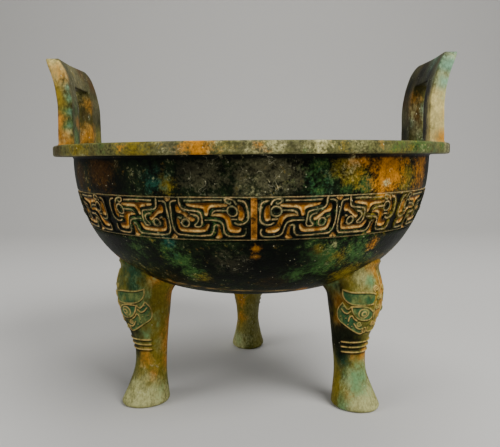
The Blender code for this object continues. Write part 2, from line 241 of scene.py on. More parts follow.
def bowl_profile():
    """Radius and height along the bowl's skin: up its inside, over the rim, down to its underside."""
    inside = belly_curve(UNDER_RIM, INSIDE_ROWS, WALL)[::-1]
    mouth_centre = (MOUTH_RADIUS + MOUTH_EDGE_RADIUS, RIM_TOP - MOUTH_EDGE_RADIUS)
    mouth = arc(mouth_centre, MOUTH_EDGE_RADIUS, 180, 90)
    upper = arc((RIM_RADIUS - RIM_EDGE_RADIUS, RIM_TOP - RIM_EDGE_RADIUS), RIM_EDGE_RADIUS, 90, 0)
    lower = arc((RIM_RADIUS - RIM_EDGE_RADIUS, UNDER_RIM + RIM_EDGE_RADIUS), RIM_EDGE_RADIUS, 0, -90)
    fillet_centre = (NECK_RADIUS + NECK_FILLET_RADIUS, UNDER_RIM - NECK_FILLET_RADIUS)
    neck = arc(fillet_centre, NECK_FILLET_RADIUS, 90, 180)
    half_line = BAND_LINE_WIDTH / 2
    neck_height = np.linspace(neck[-1, 1], BAND_TOP + half_line, NECK_ROWS)[1:]
    neck_wall = np.stack([belly_radius(neck_height), neck_height], -1)
    seat_heights = np.array([BAND_TOP, BAND_TOP - half_line, BAND_BOTTOM + half_line, BAND_BOTTOM])
    seat_depths = np.array([BAND_LINE_DEPTH, BAND_SEAT_DEPTH, BAND_SEAT_DEPTH, BAND_LINE_DEPTH])
    seat = np.stack([belly_radius(seat_heights) - seat_depths, seat_heights], -1)
    return np.concatenate([
        inside, straight(inside[-1], mouth[0], 3), mouth, straight(mouth[-1], upper[0], 7), upper,
        straight(upper[-1], lower[0], 3), lower, straight(lower[-1], neck[0], 4), neck,
        neck_wall, seat, belly_curve(BAND_BOTTOM - half_line, BELLY_ROWS),
    ])


def unevenness(points, amount):
    """Long crossed waves, as where wax was pressed by hand: three sines whose phases are bent by further
    sines, and a fourth of half their height. Together they reach at most the amount."""
    x, y, z = np.moveaxis(points / MM, -1, 0)
    waves = (np.sin(0.061 * x + 1.4 * np.sin(0.031 * y + 0.027 * z))
             + np.sin(0.083 * y + 1.1 * np.sin(0.045 * z + 0.022 * x) + 1.0)
             + np.sin(0.12 * z + 1.3 * np.sin(0.051 * x - 0.037 * y) + 2.0)
             + 0.5 * np.sin(0.23 * x + 0.19 * y + 0.27 * z))
    return waves * amount / 3.5


def skin(name, points, attributes, closed_rows=False):
    """A closed mesh from a grid of points. Each row closes on itself. The rows either close to a point
    at both ends or, where closed_rows is set, run back into the first. The signed volume, a sum of triple
    products, says whether the faces have to be turned to point outwards."""
    rows, columns = points.shape[:2]
    flat = points.reshape(-1, 3)
    number = np.arange(rows * columns).reshape(rows, columns)
    if closed_rows:
        number = np.vstack([number, number[:1]])
    here, after = number[:-1], number[1:]
    quads = np.stack([here, np.roll(here, -1, 1), np.roll(after, -1, 1), after], -1).reshape(-1, 4)
    a, b, c, d = (flat[quads[:, i]] for i in range(4))
    volume = (a * np.cross(b, c)).sum() + (a * np.cross(c, d)).sum()
    faces = quads.tolist()
    if not closed_rows:
        poles = np.stack([points[0].mean(0), points[-1].mean(0)])
        flat = np.concatenate([flat, poles])
        first, last = number[0], number[-1]
        start = np.stack([np.roll(first, -1), first, np.full(columns, len(flat) - 2)], -1)
        end = np.stack([last, np.roll(last, -1), np.full(columns, len(flat) - 1)], -1)
        faces += start.tolist() + end.tolist()
    if volume < 0:
        faces = [face[::-1] for face in faces]
    mesh = bpy.data.meshes.new(name)
    mesh.from_pydata(flat.tolist(), [], faces)
    for label, values in attributes.items():
        held = np.zeros(len(flat))
        held[:rows * columns] = values.ravel()
        mesh.attributes.new(label, "FLOAT", "POINT").data.foreach_set("value", held)
    mesh.shade_smooth()
    made = bpy.data.objects.new(name, mesh)
    bpy.context.scene.collection.objects.link(made)
    return made


def turned(profile, columns):
    """A surface of revolution: each point of the profile carried round the Z axis from -Y towards +X."""
    angle = np.arange(columns) * 2 * math.pi / columns
    radius, height = profile[:, :1], profile[:, 1:]
    return np.stack([radius * np.sin(angle), -radius * np.cos(angle),
                     np.broadcast_to(height, (len(profile), columns))], -1)


def dress(piece, material):
    """The piece takes its material, stands for the cast solid and stays on its body."""
    piece.data.materials.append(material)
    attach(piece, "root")
    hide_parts("ding_vessel")


def around_bowl(places, radius):
    """Places given as (angle from the front in degrees, height mm, reach mm, strength), as points."""
    angle, height = np.radians(places[:, 0]), places[:, 1]
    return np.stack([radius / MM * np.sin(angle), -radius / MM * np.cos(angle), height], -1)


def listed(places, label, columns):
    """A colour's places as rows of numbers, or no rows where it gathers nowhere."""
    return np.array(places.get(label, ()), float).reshape(-1, columns)


def gathered(points, centres, places):
    """How much of one patina colour gathers at each point: the largest of its places' strengths, each
    times exp(-(distance / reach) ^ 2). A place's last two numbers are its reach and its strength."""
    field = np.zeros(points.shape[:-1])
    for centre, (reach, strength) in zip(centres, places[:, -2:]):
        away = np.linalg.norm(points / MM - centre, axis=-1) / reach
        field = np.maximum(field, strength * np.exp(-away ** 2))
    return field


def from_axis(points):
    """Distance of each point from the Z axis."""
    return np.hypot(points[..., 0], points[..., 1])


# Where each patina colour gathers on the bowl's front: angle from the front in degrees, height and reach
# in millimetres, strength.
BOWL_PLACES = {
    "dark": (
        (-14, 146, 20, 0.6), (3, 92, 24, 0.9), (12, 96, 16, 0.9), (62, 133, 12, 0.9),
        (60, 100, 14, 0.8), (-8, 84, 15, 0.8), (-35, 146, 12, 0.6), (-14, 98, 12, 0.7),
        (8, 132, 10, 0.4), (-52, 100, 14, 1.0), (52, 101, 12, 0.9), (-36, 134, 8, 0.8),
    ),
    "haze": ((-12, 139, 14, 0.8), (4, 141, 16, 1.05), (-5, 96, 14, 0.6), (20, 100, 10, 0.4)),
    "green": (
        (-33, 118, 14, 0.6), (-10, 118, 12, 0.5), (18, 118, 12, 0.5), (22, 96, 15, 1.1),
        (35, 98, 14, 0.9), (31, 134, 6, 1.1), (25, 133, 7, 0.7), (-26, 102, 7, 0.7), (-23, 96, 8, 0.9),
        (-20, 89, 8, 1.0), (-38, 101, 10, 0.5), (15, 88, 10, 0.9), (17, 137, 13, 0.65),
        (44, 95, 8, 0.6),
    ),
    "olive": (
        (44, 120, 12, 0.7), (56, 116, 10, 0.6), (-21.5, 134.5, 5, 1.1), (-18, 86, 6, 0.9),
        (38, 84, 12, 0.9), (52, 88, 13, 0.7), (47, 138, 12, 0.9), (20, 103, 4, 0.9), (-48, 87, 12, 0.5),
        (24, 144, 9, 0.7), (36, 124, 12, 0.7), (45, 115, 12, 0.6), (27, 140, 9, 1.0), (29, 98, 8, 0.7),
    ),
    "ochre": (
        (39.5, 140, 15, 1.2), (28, 147, 8, 0.9), (58, 144, 13, 1.0), (40, 133, 6, 1.1),
        (40.5, 102, 5, 1.0), (56, 84, 9, 0.6), (1.1, 103.6, 3, 1.0), (1.1, 99, 2.5, 0.8),
        (-60, 88, 9, 0.6), (26, 75, 7, 0.6), (62, 92, 9, 0.4), (-38, 78, 7, 0.6),
    ),
    "brown": (
        (-45, 141, 15, 1.1), (-60, 138, 12, 0.8), (52, 146, 8, 0.6), (8, 84, 14, 0.6),
        (-30, 84, 10, 0.5),
    ),
    "teal": (
        (-25, 135.5, 8, 0.75), (-24.6, 106, 4, 1.1), (-24, 99, 5, 0.5), (32, 136, 5, 0.7),
        (16, 135, 10, 0.45),
    ),
    "pale": ((38, 134, 3, 0.8), (-25, 138, 2, 0.45), (26, 143, 7, 0.6), (24, 105, 3, 0.6)),
}
RIM_PLACES = {
    "olive": (
        (-46, 152, 18, 0.8), (-26, 152, 14, 0.95), (34, 152, 10, 0.7), (20, 152, 8, 0.6),
        (-6, 152, 8, 0.5),
    ),
    "haze": (
        (6, 152, 30, 0.7), (-18, 152, 12, 0.9), (-66, 152, 14, 0.9), (22, 152, 16, 0.6),
        (64, 152, 16, 0.9),
    ),
    "ochre": ((-30, 153, 5, 0.6), (-10.5, 152, 8, 1.1), (29, 153, 5, 0.6), (2, 150, 5, 0.5)),
    "brown": ((-60, 152, 12, 0.9), (-40, 150, 5, 0.6)),
    "green": (
        (45, 151, 13, 0.7), (35, 151, 8, 0.7), (26, 150, 7, 0.5), (-36, 152, 8, 0.6),
        (-24, 150, 7, 0.5), (57, 152, 7, 0.6), (12, 150, 5, 0.5),
    ),
    "teal": ((50, 152, 5, 0.6), (4, 149, 6, 0.4), (-52, 151, 5, 0.4)),
    "pale": (
        (-9, 153, 8, 0.4), (4, 153, 10, 0.44), (14, 153, 10, 0.5), (24, 153, 9, 0.5), (45, 153, 6, 0.2),
        (60, 153, 5, 0.4), (-20, 153, 5, 0.15),
    ),
}
# Round the back the colours gather at seeded places between these bearings, each within its own reach.
HIDDEN_BEARINGS = (75, 285)
HIDDEN_REACH_SHARES = (0.6, 1.3)
HIDDEN_STRENGTHS = (0.6, 1.1)
HIDDEN_REACHES_MM = {
    "dark": 18, "haze": 14, "green": 13, "olive": 11, "ochre": 10, "brown": 12, "teal": 7, "pale": 4,
}
# Painted shade in the corner under the rim, wear on the rim's edge and top, and the mould line left under
# the belly: its bearings in degrees, its heights in millimetres and where it starts and ends.
CORNER_PAINTED_SHADE = 1.6
CORNER_PAINTED_SHADE_REACH = 2.2 * MM
RIM_EDGE_WEAR = 1.1
RIM_TOP_WEAR = 0.8
MOULD_LINE = ((-40, -20, 1.3, 24.4), (80.5, 77.2, 75.7, 74.8))
MOULD_LINE_ENDS = (-40, 26)
MOULD_LINE_HALF_WIDTH = 0.32 * MM


def unseen_places(seed, low, high, count):
    """Places of every colour round the back between two heights in millimetres, from seeded draws."""
    draw = np.random.default_rng(seed)
    return {name: np.stack([draw.uniform(*HIDDEN_BEARINGS, count), draw.uniform(low, high, count),
                            reach * draw.uniform(*HIDDEN_REACH_SHARES, count),
                            draw.uniform(*HIDDEN_STRENGTHS, count)], -1)
            for name, reach in HIDDEN_REACHES_MM.items()}


def bowl_patina(points):
    """The colour fields of the bowl and the frieze: those of the rim's places on the rim, and those of
    the belly's places elsewhere."""
    radius, height = from_axis(points), points[..., 2]
    on_rim = (radius > NECK_RADIUS + 3 * MM) | (height > UNDER_RIM + 1 * MM)
    hidden = unseen_places(4, 72, 150, 7)
    hidden_rim = unseen_places(9, 149, 154, 5)
    fields = {}
    for name in BOWL_PLACES:
        belly = np.concatenate([listed(BOWL_PLACES, name, 4), hidden[name]])
        rim = np.concatenate([listed(RIM_PLACES, name, 4), hidden_rim[name]])
        belly_centres = around_bowl(belly, belly_radius(belly[:, 1] * MM))
        rim_centres = around_bowl(rim, RIM_RADIUS)
        fields[name] = np.where(on_rim, gathered(points, rim_centres, rim),
                                gathered(points, belly_centres, belly))
    top_wear = np.where(height > RIM_TOP - 1 * MM, RIM_TOP_WEAR, 0.0)
    fields["worn"] = np.where(radius > RIM_RADIUS - 2 * MM, RIM_EDGE_WEAR, top_wear)
    # Painted shade: the dark field deepens along the corner under the rim.
    from_corner = np.hypot(radius - NECK_RADIUS, height - UNDER_RIM) / CORNER_PAINTED_SHADE_REACH
    fields["dark"] = np.maximum(fields["dark"], CORNER_PAINTED_SHADE * np.exp(-from_corner ** 2))
    bearing = np.degrees(np.arctan2(points[..., 0], -points[..., 1]))
    along_line = (bearing > MOULD_LINE_ENDS[0]) & (bearing < MOULD_LINE_ENDS[1])
    outside = radius > belly_radius(height) - WALL / 2
    from_line = (height - np.interp(bearing, *MOULD_LINE) * MM) / MOULD_LINE_HALF_WIDTH
    fields["mould_line"] = np.exp(-from_line ** 2) * along_line * outside
    return fields


# The finish of the bowl: each colour of the patina, from the metal up, and which channel of the noise
# breaks up its edge. Under them lies black-green skin, dull with wax; over it come copper greens, yellow
# and orange earths and pale bloom. "worn" is the handled edge of the rim, rubbed down to olive.
DARK_SKIN = ("#070B05", "#1A2812")
PATINA_COLOURS = (
    ("worn", "#66653A", 1), ("haze", "#5A583E", 0), ("brown", "#3A2408", 1), ("green", "#365828", 2),
    ("olive", "#7A6A18", 0), ("teal", "#1C4A3A", 1), ("ochre", "#B27416", 2), ("dark", "#060906", 0),
    ("pale", "#B8B07A", 1),
)
FLECK_COLOUR = "#C9C4A0"
BROAD_BLOTCH_MM = 18.0
SMALL_BLOTCH_MM = 4.2
GRAIN_MM = 1.2
FLECK_SPACING_MM = 2.1
SCRATCH_SPACING_MM = 7.0
SKIN_BUMP = 0.35 * MM
BUMP_STRENGTH = 0.6
ROUGHNESS_SPREAD = 0.3
SPECULAR_LEVEL = 0.045
MOST_COVER = 0.95
SCRATCH_COVER = 0.5
SCRATCH_NOISE_WIDTH = 0.010
FLECK_COVER = 0.7
FLECK_RADII = (0.08, 0.17)
FLECK_CELLS_ABOVE = (0.84, 0.92)


def patinated_bronze(name, crest_colours=(), skin_colours=DARK_SKIN, colours=PATINA_COLOURS,
                     breakup=(1.5, 1.9, 1.3), edge=(0.28, 1.10), tones=(0.45, 1.5), streak=1.0,
                     roughness=0.5):
    """Cast bronze under a waxed patina. Every colour fades in between the two values of edge of its
    field, raised or lowered by three noises as far as breakup says. tones are the darkest and the
    lightest shade of a colour, and streak below 1 draws the noises out downwards. crest_colours are
    (attribute, colour, second colour) laid on top as far as the attribute says, the two colours mixed
    by noise. Fine scratches run where a noise crosses its middle, and flecks lie in a few of its cells."""
    material, shader = new_material(name)
    tree = material.node_tree
    place = add_node(tree, "ShaderNodeTexCoord").outputs["Object"]
    place = add_node(tree, "ShaderNodeVectorMath", {0: place, 1: (1, 1, streak)},
                     operation="MULTIPLY").outputs[0]

    def noise(size_mm, detail, finer=0.5, distortion=0.0):
        """The outputs of a noise whose blotches are about that size, mixed with finer ones."""
        return add_node(tree, "ShaderNodeTexNoise", {
            "Vector": place, "Scale": 1 / (size_mm * MM), "Detail": detail, "Roughness": finer,
            "Distortion": distortion}).outputs

    def channels(colour):
        """The three channels of a colour."""
        parts = add_node(tree, "ShaderNodeSeparateColor", {"Color": colour}).outputs
        return [parts[i] for i in range(3)]

    def maths(operation, *values):
        """The result of one operation on sockets and numbers."""
        return add_node(tree, "ShaderNodeMath", dict(enumerate(values)), operation=operation).outputs[0]

    def weighed(first, amount, second, other_amount):
        """The sum of two values, each times its amount."""
        return maths("ADD", maths("MULTIPLY", first, amount), maths("MULTIPLY", second, other_amount))

    def between(low, high, value, at_low=0.0, at_high=1.0):
        """at_low below low and at_high above high, eased between."""
        return add_node(tree, "ShaderNodeMapRange", {
            "Value": value, "From Min": low, "From Max": high, "To Min": at_low, "To Max": at_high},
            interpolation_type="SMOOTHSTEP").outputs["Result"]

    def laid_over(below, colour, mask):
        """A colour laid over the one below as far as the mask goes."""
        return add_node(tree, "ShaderNodeMix", {0: mask, 6: below, 7: colour}, data_type="RGBA").outputs[2]

    def field_of(label):
        """The value of the mesh's attribute."""
        return add_node(tree, "ShaderNodeAttribute", attribute_name=label).outputs["Fac"]

    broad = channels(noise(BROAD_BLOTCH_MM, 7.0, 0.62)["Color"])
    small = channels(noise(SMALL_BLOTCH_MM, 6.0, 0.62)["Color"])
    grain = noise(GRAIN_MM, 5.0, 0.65)["Fac"]
    mottle = weighed(broad[1], 0.5, small[2], 0.5)
    colour = laid_over(linear(skin_colours[0]), linear(skin_colours[1]), between(0.42, 0.64, mottle))
    fields = {}
    for label, shade, channel in colours:
        fields[label] = mask = field_of(label)
        for value, amount in zip((broad[channel], small[(channel + 1) % 3], grain), breakup):
            mask = maths("ADD", mask, maths("MULTIPLY", maths("SUBTRACT", value, 0.5), amount))
        mask = between(*edge, mask, 0.0, MOST_COVER)
        colour = laid_over(colour, linear(shade), mask)
    winding = noise(SCRATCH_SPACING_MM, 2.0, distortion=0.8)["Fac"]
    off_line = maths("ABSOLUTE", maths("SUBTRACT", winding, 0.5))
    scratch = between(0.0, SCRATCH_NOISE_WIDTH, off_line, SCRATCH_COVER, 0.0)
    scratch = maths("MULTIPLY", scratch, between(0.2, 0.9, fields["haze"]))
    scratch = maths("MULTIPLY", scratch, between(0.47, 0.53, small[0]))
    colour = laid_over(colour, linear(FLECK_COLOUR), scratch)
    cells = add_node(tree, "ShaderNodeTexVoronoi", {"Vector": place, "Scale": 1 / (FLECK_SPACING_MM * MM)})
    chosen = channels(cells.outputs["Color"])[0]
    fleck = between(*FLECK_RADII, cells.outputs["Distance"], FLECK_COVER, 0.0)
    fleck = maths("MULTIPLY", fleck, between(*FLECK_CELLS_ABOVE, chosen))
    colour = laid_over(colour, linear(FLECK_COLOUR), fleck)
    for label, shade, second in crest_colours:
        mixed = laid_over(linear(shade), linear(second), between(0.38, 0.66, small[1]))
        colour = laid_over(colour, mixed, maths("MULTIPLY", field_of(label), between(0.28, 0.44, small[0])))
    tone = between(0.34, 0.66, weighed(grain, 0.6, small[0], 0.4), *tones)
    tint = add_node(tree, "ShaderNodeVectorMath", {0: colour, "Scale": tone}, operation="SCALE")
    bump = add_node(tree, "ShaderNodeBump", {
        "Height": weighed(grain, 0.5, small[1], 0.9), "Distance": SKIN_BUMP, "Strength": BUMP_STRENGTH})
    rough = maths("ADD", maths("MULTIPLY", small[2], ROUGHNESS_SPREAD), roughness - ROUGHNESS_SPREAD / 2)
    tree.links.new(tint.outputs["Vector"], shader.inputs["Base Color"])
    tree.links.new(bump.outputs["Normal"], shader.inputs["Normal"])
    tree.links.new(rough, shader.inputs["Roughness"])
    shader.inputs["Specular IOR Level"].default_value = SPECULAR_LEVEL
    return material


bowl_bronze = patinated_bronze("waxed_dark_patina", (("mould_line", "#A88B52", "#6E5425"),))

bowl_points = turned(bowl_profile(), BOWL_COLUMNS)
bowl_radius = from_axis(bowl_points)[..., None]
outwards = np.concatenate([bowl_points[..., :2] / np.maximum(bowl_radius, 1e-6),
                           np.zeros_like(bowl_radius)], -1)
bowl_points = bowl_points + outwards * unevenness(bowl_points, UNEVENNESS)[..., None]
bowl = skin("bowl", bowl_points, bowl_patina(bowl_points))
dress(bowl, bowl_bronze)


# The frieze: a band of beast scrolls cast in sixteen panels, each the mirror image of its neighbours.
# Rounded bodies stand up, each with an incised middle line, over sunk grounds that hold ochre earth.
PANELS = 16
PANEL_COLUMNS = 105
BAND_ROWS = 57
FRONT_SEAM_TURN = math.radians(0.6)
BAND_BACK = 2.0 * MM
GROUND_DEPTH_MM = 1.0
GROOVE_DEPTH_MM = 0.45
GROOVE_HALF_WIDTH_MM = 0.34
BODY_HALF_WIDTH_MM = 1.25
BODY_CROWN_MM = 0.22
GAP_DEPTH_MM = 0.7
EYE_DOME_MM = 0.55
EYE_RIM_MM = 0.3
SEAM_SHARE = 0.015
PANEL_TURN = 2 * math.pi / PANELS

# Lines, eyes and grounds of one panel. A point is a share of the width, from the edge of the seam where
# two heads meet, and a share of the height. An eye has its centre, and its radius in millimetres.
PANEL_LINES = {
    "head": (
        (0.15, 0.92), (0.09, 0.9), (0.06, 0.82), (0.05, 0.62), (0.05, 0.5), (0.08, 0.42), (0.13, 0.38),
        (0.18, 0.38), (0.21, 0.42),
    ),
    "arm": ((0.31, 0.69), (0.42, 0.69), (0.46, 0.66), (0.48, 0.6)),
    "top_bar": ((0.35, 0.915), (0.78, 0.91)),
    "hook": (
        (0.85, 0.96), (0.85, 0.8), (0.83, 0.73), (0.78, 0.7), (0.65, 0.68), (0.61, 0.64), (0.6, 0.5),
        (0.6, 0.36), (0.63, 0.31), (0.68, 0.32), (0.69, 0.36), (0.66, 0.4), (0.64, 0.46), (0.64, 0.54),
        (0.67, 0.59), (0.73, 0.61),
    ),
    "frame": (
        (0.89, 0.9), (0.95, 0.89), (0.98, 0.83), (0.98, 0.5), (0.97, 0.25), (0.95, 0.15), (0.91, 0.11),
        (0.52, 0.1), (0.48, 0.16), (0.46, 0.25), (0.46, 0.33), (0.44, 0.36), (0.42, 0.36), (0.41, 0.34),
    ),
    "jaw": (
        (0.08, 0.28), (0.07, 0.2), (0.09, 0.12), (0.13, 0.1), (0.29, 0.1), (0.33, 0.16), (0.34, 0.25),
        (0.35, 0.38), (0.38, 0.44), (0.44, 0.465), (0.56, 0.47),
    ),
    "crest_leaf": (
        (0.18, 0.83), (0.2, 0.92), (0.26, 0.96), (0.31, 0.95), (0.3, 0.88), (0.25, 0.83), (0.24, 0.88),
    ),
    "eyelid": ((0.19, 0.5), (0.25, 0.5)),
    "dash": ((0.86, 0.51), (0.89, 0.53)),
}
PANEL_EYES = (((0.235, 0.68), 2.4), ((0.80, 0.40), 1.9))
PANEL_GROUNDS = (
    (
        (0.165, 0.82), (0.13, 0.8), (0.105, 0.7), (0.1, 0.58), (0.12, 0.48), (0.15, 0.47), (0.17, 0.52),
        (0.155, 0.62), (0.155, 0.73),
    ),
    (
        (0.285, 0.84), (0.29, 0.79), (0.37, 0.765), (0.48, 0.765), (0.525, 0.7), (0.535, 0.585),
        (0.555, 0.56), (0.57, 0.6), (0.565, 0.68), (0.59, 0.75), (0.7, 0.775), (0.77, 0.8),
        (0.775, 0.845),
    ),
    (
        (0.685, 0.49), (0.715, 0.43), (0.8, 0.555), (0.85, 0.625), (0.915, 0.63), (0.92, 0.78),
        (0.885, 0.82), (0.87, 0.72), (0.8, 0.64), (0.73, 0.55),
    ),
    (
        (0.515, 0.37), (0.545, 0.24), (0.59, 0.19), (0.86, 0.19), (0.905, 0.23), (0.92, 0.5),
        (0.89, 0.5), (0.885, 0.34), (0.87, 0.27), (0.6, 0.28), (0.565, 0.32), (0.55, 0.37),
    ),
    (
        (0.14, 0.22), (0.165, 0.195), (0.245, 0.195), (0.285, 0.23), (0.3, 0.32), (0.315, 0.46),
        (0.35, 0.545), (0.42, 0.565), (0.5, 0.565), (0.45, 0.6), (0.42, 0.62), (0.33, 0.625),
        (0.285, 0.58), (0.265, 0.5), (0.26, 0.4), (0.235, 0.33), (0.16, 0.31), (0.135, 0.28),
    ),
    (
        (0.395, 0.36), (0.385, 0.18), (0.365, 0.045), (0.465, 0.045), (0.425, 0.1), (0.41, 0.2),
        (0.405, 0.36),
    ),
    ((0.955, 0.03), (1.0, 0.03), (1.0, 0.15)),
    ((1.0, 0.87), (1.0, 0.97), (0.955, 0.97)),
)
SEAM_BAR = ((-0.03, 0.03), (0.016, 0.03), (0.016, 0.97), (-0.03, 0.97))


def smoothstep(low, high, values):
    """0 below the low value, 1 above the high one, and 3 t^2 - 2 t^3 between them."""
    share = np.clip((values - low) / (high - low), 0.0, 1.0)
    return share * share * (3 - 2 * share)


def rounded(points, closed=False):
    """Corner cutting, twice over: each side gives points at a quarter and three quarters of its length."""
    points = np.array(points, float)
    for _ in range(2):
        after = np.roll(points, -1, 0) if closed else points[1:]
        before = points if closed else points[:-1]
        cut = np.stack([before * 0.75 + after * 0.25, before * 0.25 + after * 0.75], 1).reshape(-1, 2)
        points = cut if closed else np.concatenate([points[:1], cut, points[-1:]])
    return points


def distance_to(line, x, y, closed=False):
    """Distance of each place to a polyline: the least over its sides, to the foot of the perpendicular
    held between the side's ends."""
    ends = np.roll(line, -1, 0) if closed else line[1:]
    least = np.full(x.shape, 1e9)
    for (ax, ay), (bx, by) in zip(line, ends):
        dx, dy = bx - ax, by - ay
        share = np.clip(((x - ax) * dx + (y - ay) * dy) / max(dx * dx + dy * dy, 1e-12), 0, 1)
        least = np.minimum(least, (x - ax - share * dx) ** 2 + (y - ay - share * dy) ** 2)
    return np.sqrt(least)


def depth_inside(outline, x, y):
    """Distance to a closed outline, positive inside it. A place is inside where a ray from it crosses an
    odd number of sides."""
    inside = np.zeros(x.shape, bool)
    for (ax, ay), (bx, by) in zip(outline, np.roll(outline, -1, 0)):
        if ay != by:
            inside ^= ((ay > y) != (by > y)) & (x < (bx - ax) * (y - ay) / (by - ay) + ax)
    return distance_to(outline, x, y, closed=True) * np.where(inside, 1, -1)


band_angle = np.arange(PANELS * PANEL_COLUMNS) * PANEL_TURN / PANEL_COLUMNS
band_heights = np.linspace(BAND_TOP, BAND_BOTTOM, BAND_ROWS)
angle_grid, height_grid = np.meshgrid(band_angle, band_heights)
panel_number = np.floor(angle_grid / PANEL_TURN + 1e-9).astype(int)
across = angle_grid / PANEL_TURN - panel_number
across = np.where(panel_number % 2 == 0, across, 1 - across)
panel_width_mm = PANEL_TURN * belly_radius((BAND_TOP + BAND_BOTTOM) / 2) / MM
band_height_mm = (BAND_TOP - BAND_BOTTOM) / MM
across_mm = across * panel_width_mm
up_mm = (height_grid - BAND_BOTTOM) / MM
# The drawing wanders by up to 0.44 mm across and 0.34 mm up, as lines cut by hand do.
wave = angle_grid * NECK_RADIUS / MM
drawn_x = across_mm + 0.28 * np.sin(0.043 * wave + 0.35 * up_mm) + 0.16 * np.sin(0.19 * wave + 1.0)
drawn_y = up_mm + 0.22 * np.sin(0.061 * wave + 2.0) + 0.12 * np.sin(0.31 * wave)


def on_panel(points):
    """Points in shares of the panel, in millimetres."""
    shares = np.array(points, float)
    return np.stack([(SEAM_SHARE + shares[:, 0] * (1 - SEAM_SHARE)) * panel_width_mm,
                     shares[:, 1] * band_height_mm], -1)


def frieze_relief():
    """Height of the relief over the belly in millimetres, and how far each place is a filled line, an
    ochre ground or a gap that is painted near-black as shade. The bodies are what lies within their half
    width of a line, crowned by the square of the distance; gaps part bodies where the nearest two lines
    are equally far. The two numbers of a smoothstep are where that edge begins and ends, in millimetres or
    half widths."""
    distances = [distance_to(rounded(on_panel(line)), drawn_x, drawn_y) for line in PANEL_LINES.values()]
    dome = np.zeros_like(drawn_x)
    for place, radius in PANEL_EYES:
        (eye_x, eye_y), = on_panel([place])
        from_eye = np.hypot(drawn_x - eye_x, drawn_y - eye_y)
        distances.append(np.abs(from_eye - radius))
        dome = np.maximum(dome, EYE_DOME_MM * (1 - np.minimum(from_eye / (radius - EYE_RIM_MM), 1) ** 2))
    from_border = np.minimum(up_mm, band_height_mm - up_mm)
    distances.append(from_border)
    nearest, second = np.sort(np.stack(distances), 0)[:2]
    line = 1 - smoothstep(0.55, 1.15, nearest / GROOVE_HALF_WIDTH_MM)
    line_paint = 1 - smoothstep(0.12, 0.36, nearest)
    parting = (1 - smoothstep(0.15, 0.45, second - nearest)) * smoothstep(0.6, 0.8, nearest)
    gap = np.maximum(smoothstep(0.92, 1.12, nearest / BODY_HALF_WIDTH_MM), parting)
    ground = np.zeros_like(drawn_x)
    for outline in PANEL_GROUNDS:
        depth = depth_inside(rounded(on_panel(outline), closed=True), drawn_x, drawn_y)
        ground = np.maximum(ground, smoothstep(-0.35, 0.45, depth))
    from_front = np.minimum(angle_grid, 2 * math.pi - angle_grid)
    at_seam = (from_front < PANEL_TURN / 2) | (np.abs(angle_grid - math.pi) < PANEL_TURN / 2)
    seam = depth_inside(on_panel(SEAM_BAR), across_mm, up_mm)
    seam_bar = smoothstep(-0.3, 0.3, seam) * at_seam
    ground = np.maximum(ground, seam_bar)
    gap = gap * (1 - ground)
    line = line * (1 - ground)
    line_paint = line_paint * (1 - ground)
    crown = BODY_CROWN_MM * (1 - np.minimum(nearest / BODY_HALF_WIDTH_MM, 1) ** 2)
    height = dome + crown - GAP_DEPTH_MM * gap - GROOVE_DEPTH_MM * line
    height = height * (1 - ground) - GROUND_DEPTH_MM * ground
    border = 1 - smoothstep(0.0, 1.0, from_border / (BAND_LINE_WIDTH / MM / 2))
    height = height * (1 - border) - BAND_LINE_DEPTH / MM * border
    return height, np.maximum(line_paint, border), ground, gap, seam_bar


def towards_wall(ground, direction, rows):
    """How close each place of a sunk ground is to its lower wall (direction 1) or its upper wall (-1):
    the ground less its mean over the next rows that way. It places the painted highlight along the lower
    walls, which face up to the light, and the painted shade under the upper walls."""
    reached = [np.roll(np.pad(ground, ((rows, rows), (0, 0))), -direction * step, 0)[rows:-rows]
               for step in range(1, rows + 1)]
    return ground * (1 - np.mean(reached, 0))


# The gaps between the bodies are painted near-black as shade.
relief, line_fill, ground_fill, painted_gap_shade, seam_bar = frieze_relief()
band_radius = belly_radius(height_grid) + relief * MM
back_heights = np.array([BAND_BOTTOM, BAND_TOP])[:, None] * np.ones_like(band_angle)
band_radius = np.vstack([band_radius, belly_radius(back_heights) - BAND_BACK])
band_z = np.vstack([height_grid, back_heights])
band_turn = band_angle + FRONT_SEAM_TURN
band_points = np.stack([band_radius * np.sin(band_turn), -band_radius * np.cos(band_turn), band_z], -1)
band_fields = bowl_patina(band_points)
# Painted light on the grounds: painted shade under each upper wall and a painted highlight along each lower
# wall, as if lit from above.
for label, values in (("line_fill", line_fill), ("ground_fill", ground_fill), ("painted_gap_shade", painted_gap_shade),
                      ("painted_shade_upper_wall", towards_wall(ground_fill, -1, 4)),
                      ("painted_highlight_lower_wall", towards_wall(ground_fill, 1, 3)), ("seam_bar", seam_bar)):
    band_fields[label] = np.vstack([values, np.zeros((2, len(band_angle)))])
frieze = skin("frieze", band_points, band_fields, closed_rows=True)
# Laid over the patina: painted shade in the gaps, ochre earth on the grounds, dark brown painted shade
# under their upper walls, cream painted highlight along their lower walls, the seam bar's earth and the
# filled lines.
frieze_bronze = patinated_bronze("earth_filled_frieze_bronze", (
    ("painted_gap_shade", "#070A07", "#0B100A"), ("ground_fill", "#B4741C", "#8C5616"),
    ("painted_shade_upper_wall", "#241306", "#3A1E08"), ("painted_highlight_lower_wall", "#F2D084", "#D09034"),
    ("seam_bar", "#C08030", "#6A4212"), ("line_fill", "#D0AE74", "#8C8A60")))
dress(frieze, frieze_bronze)


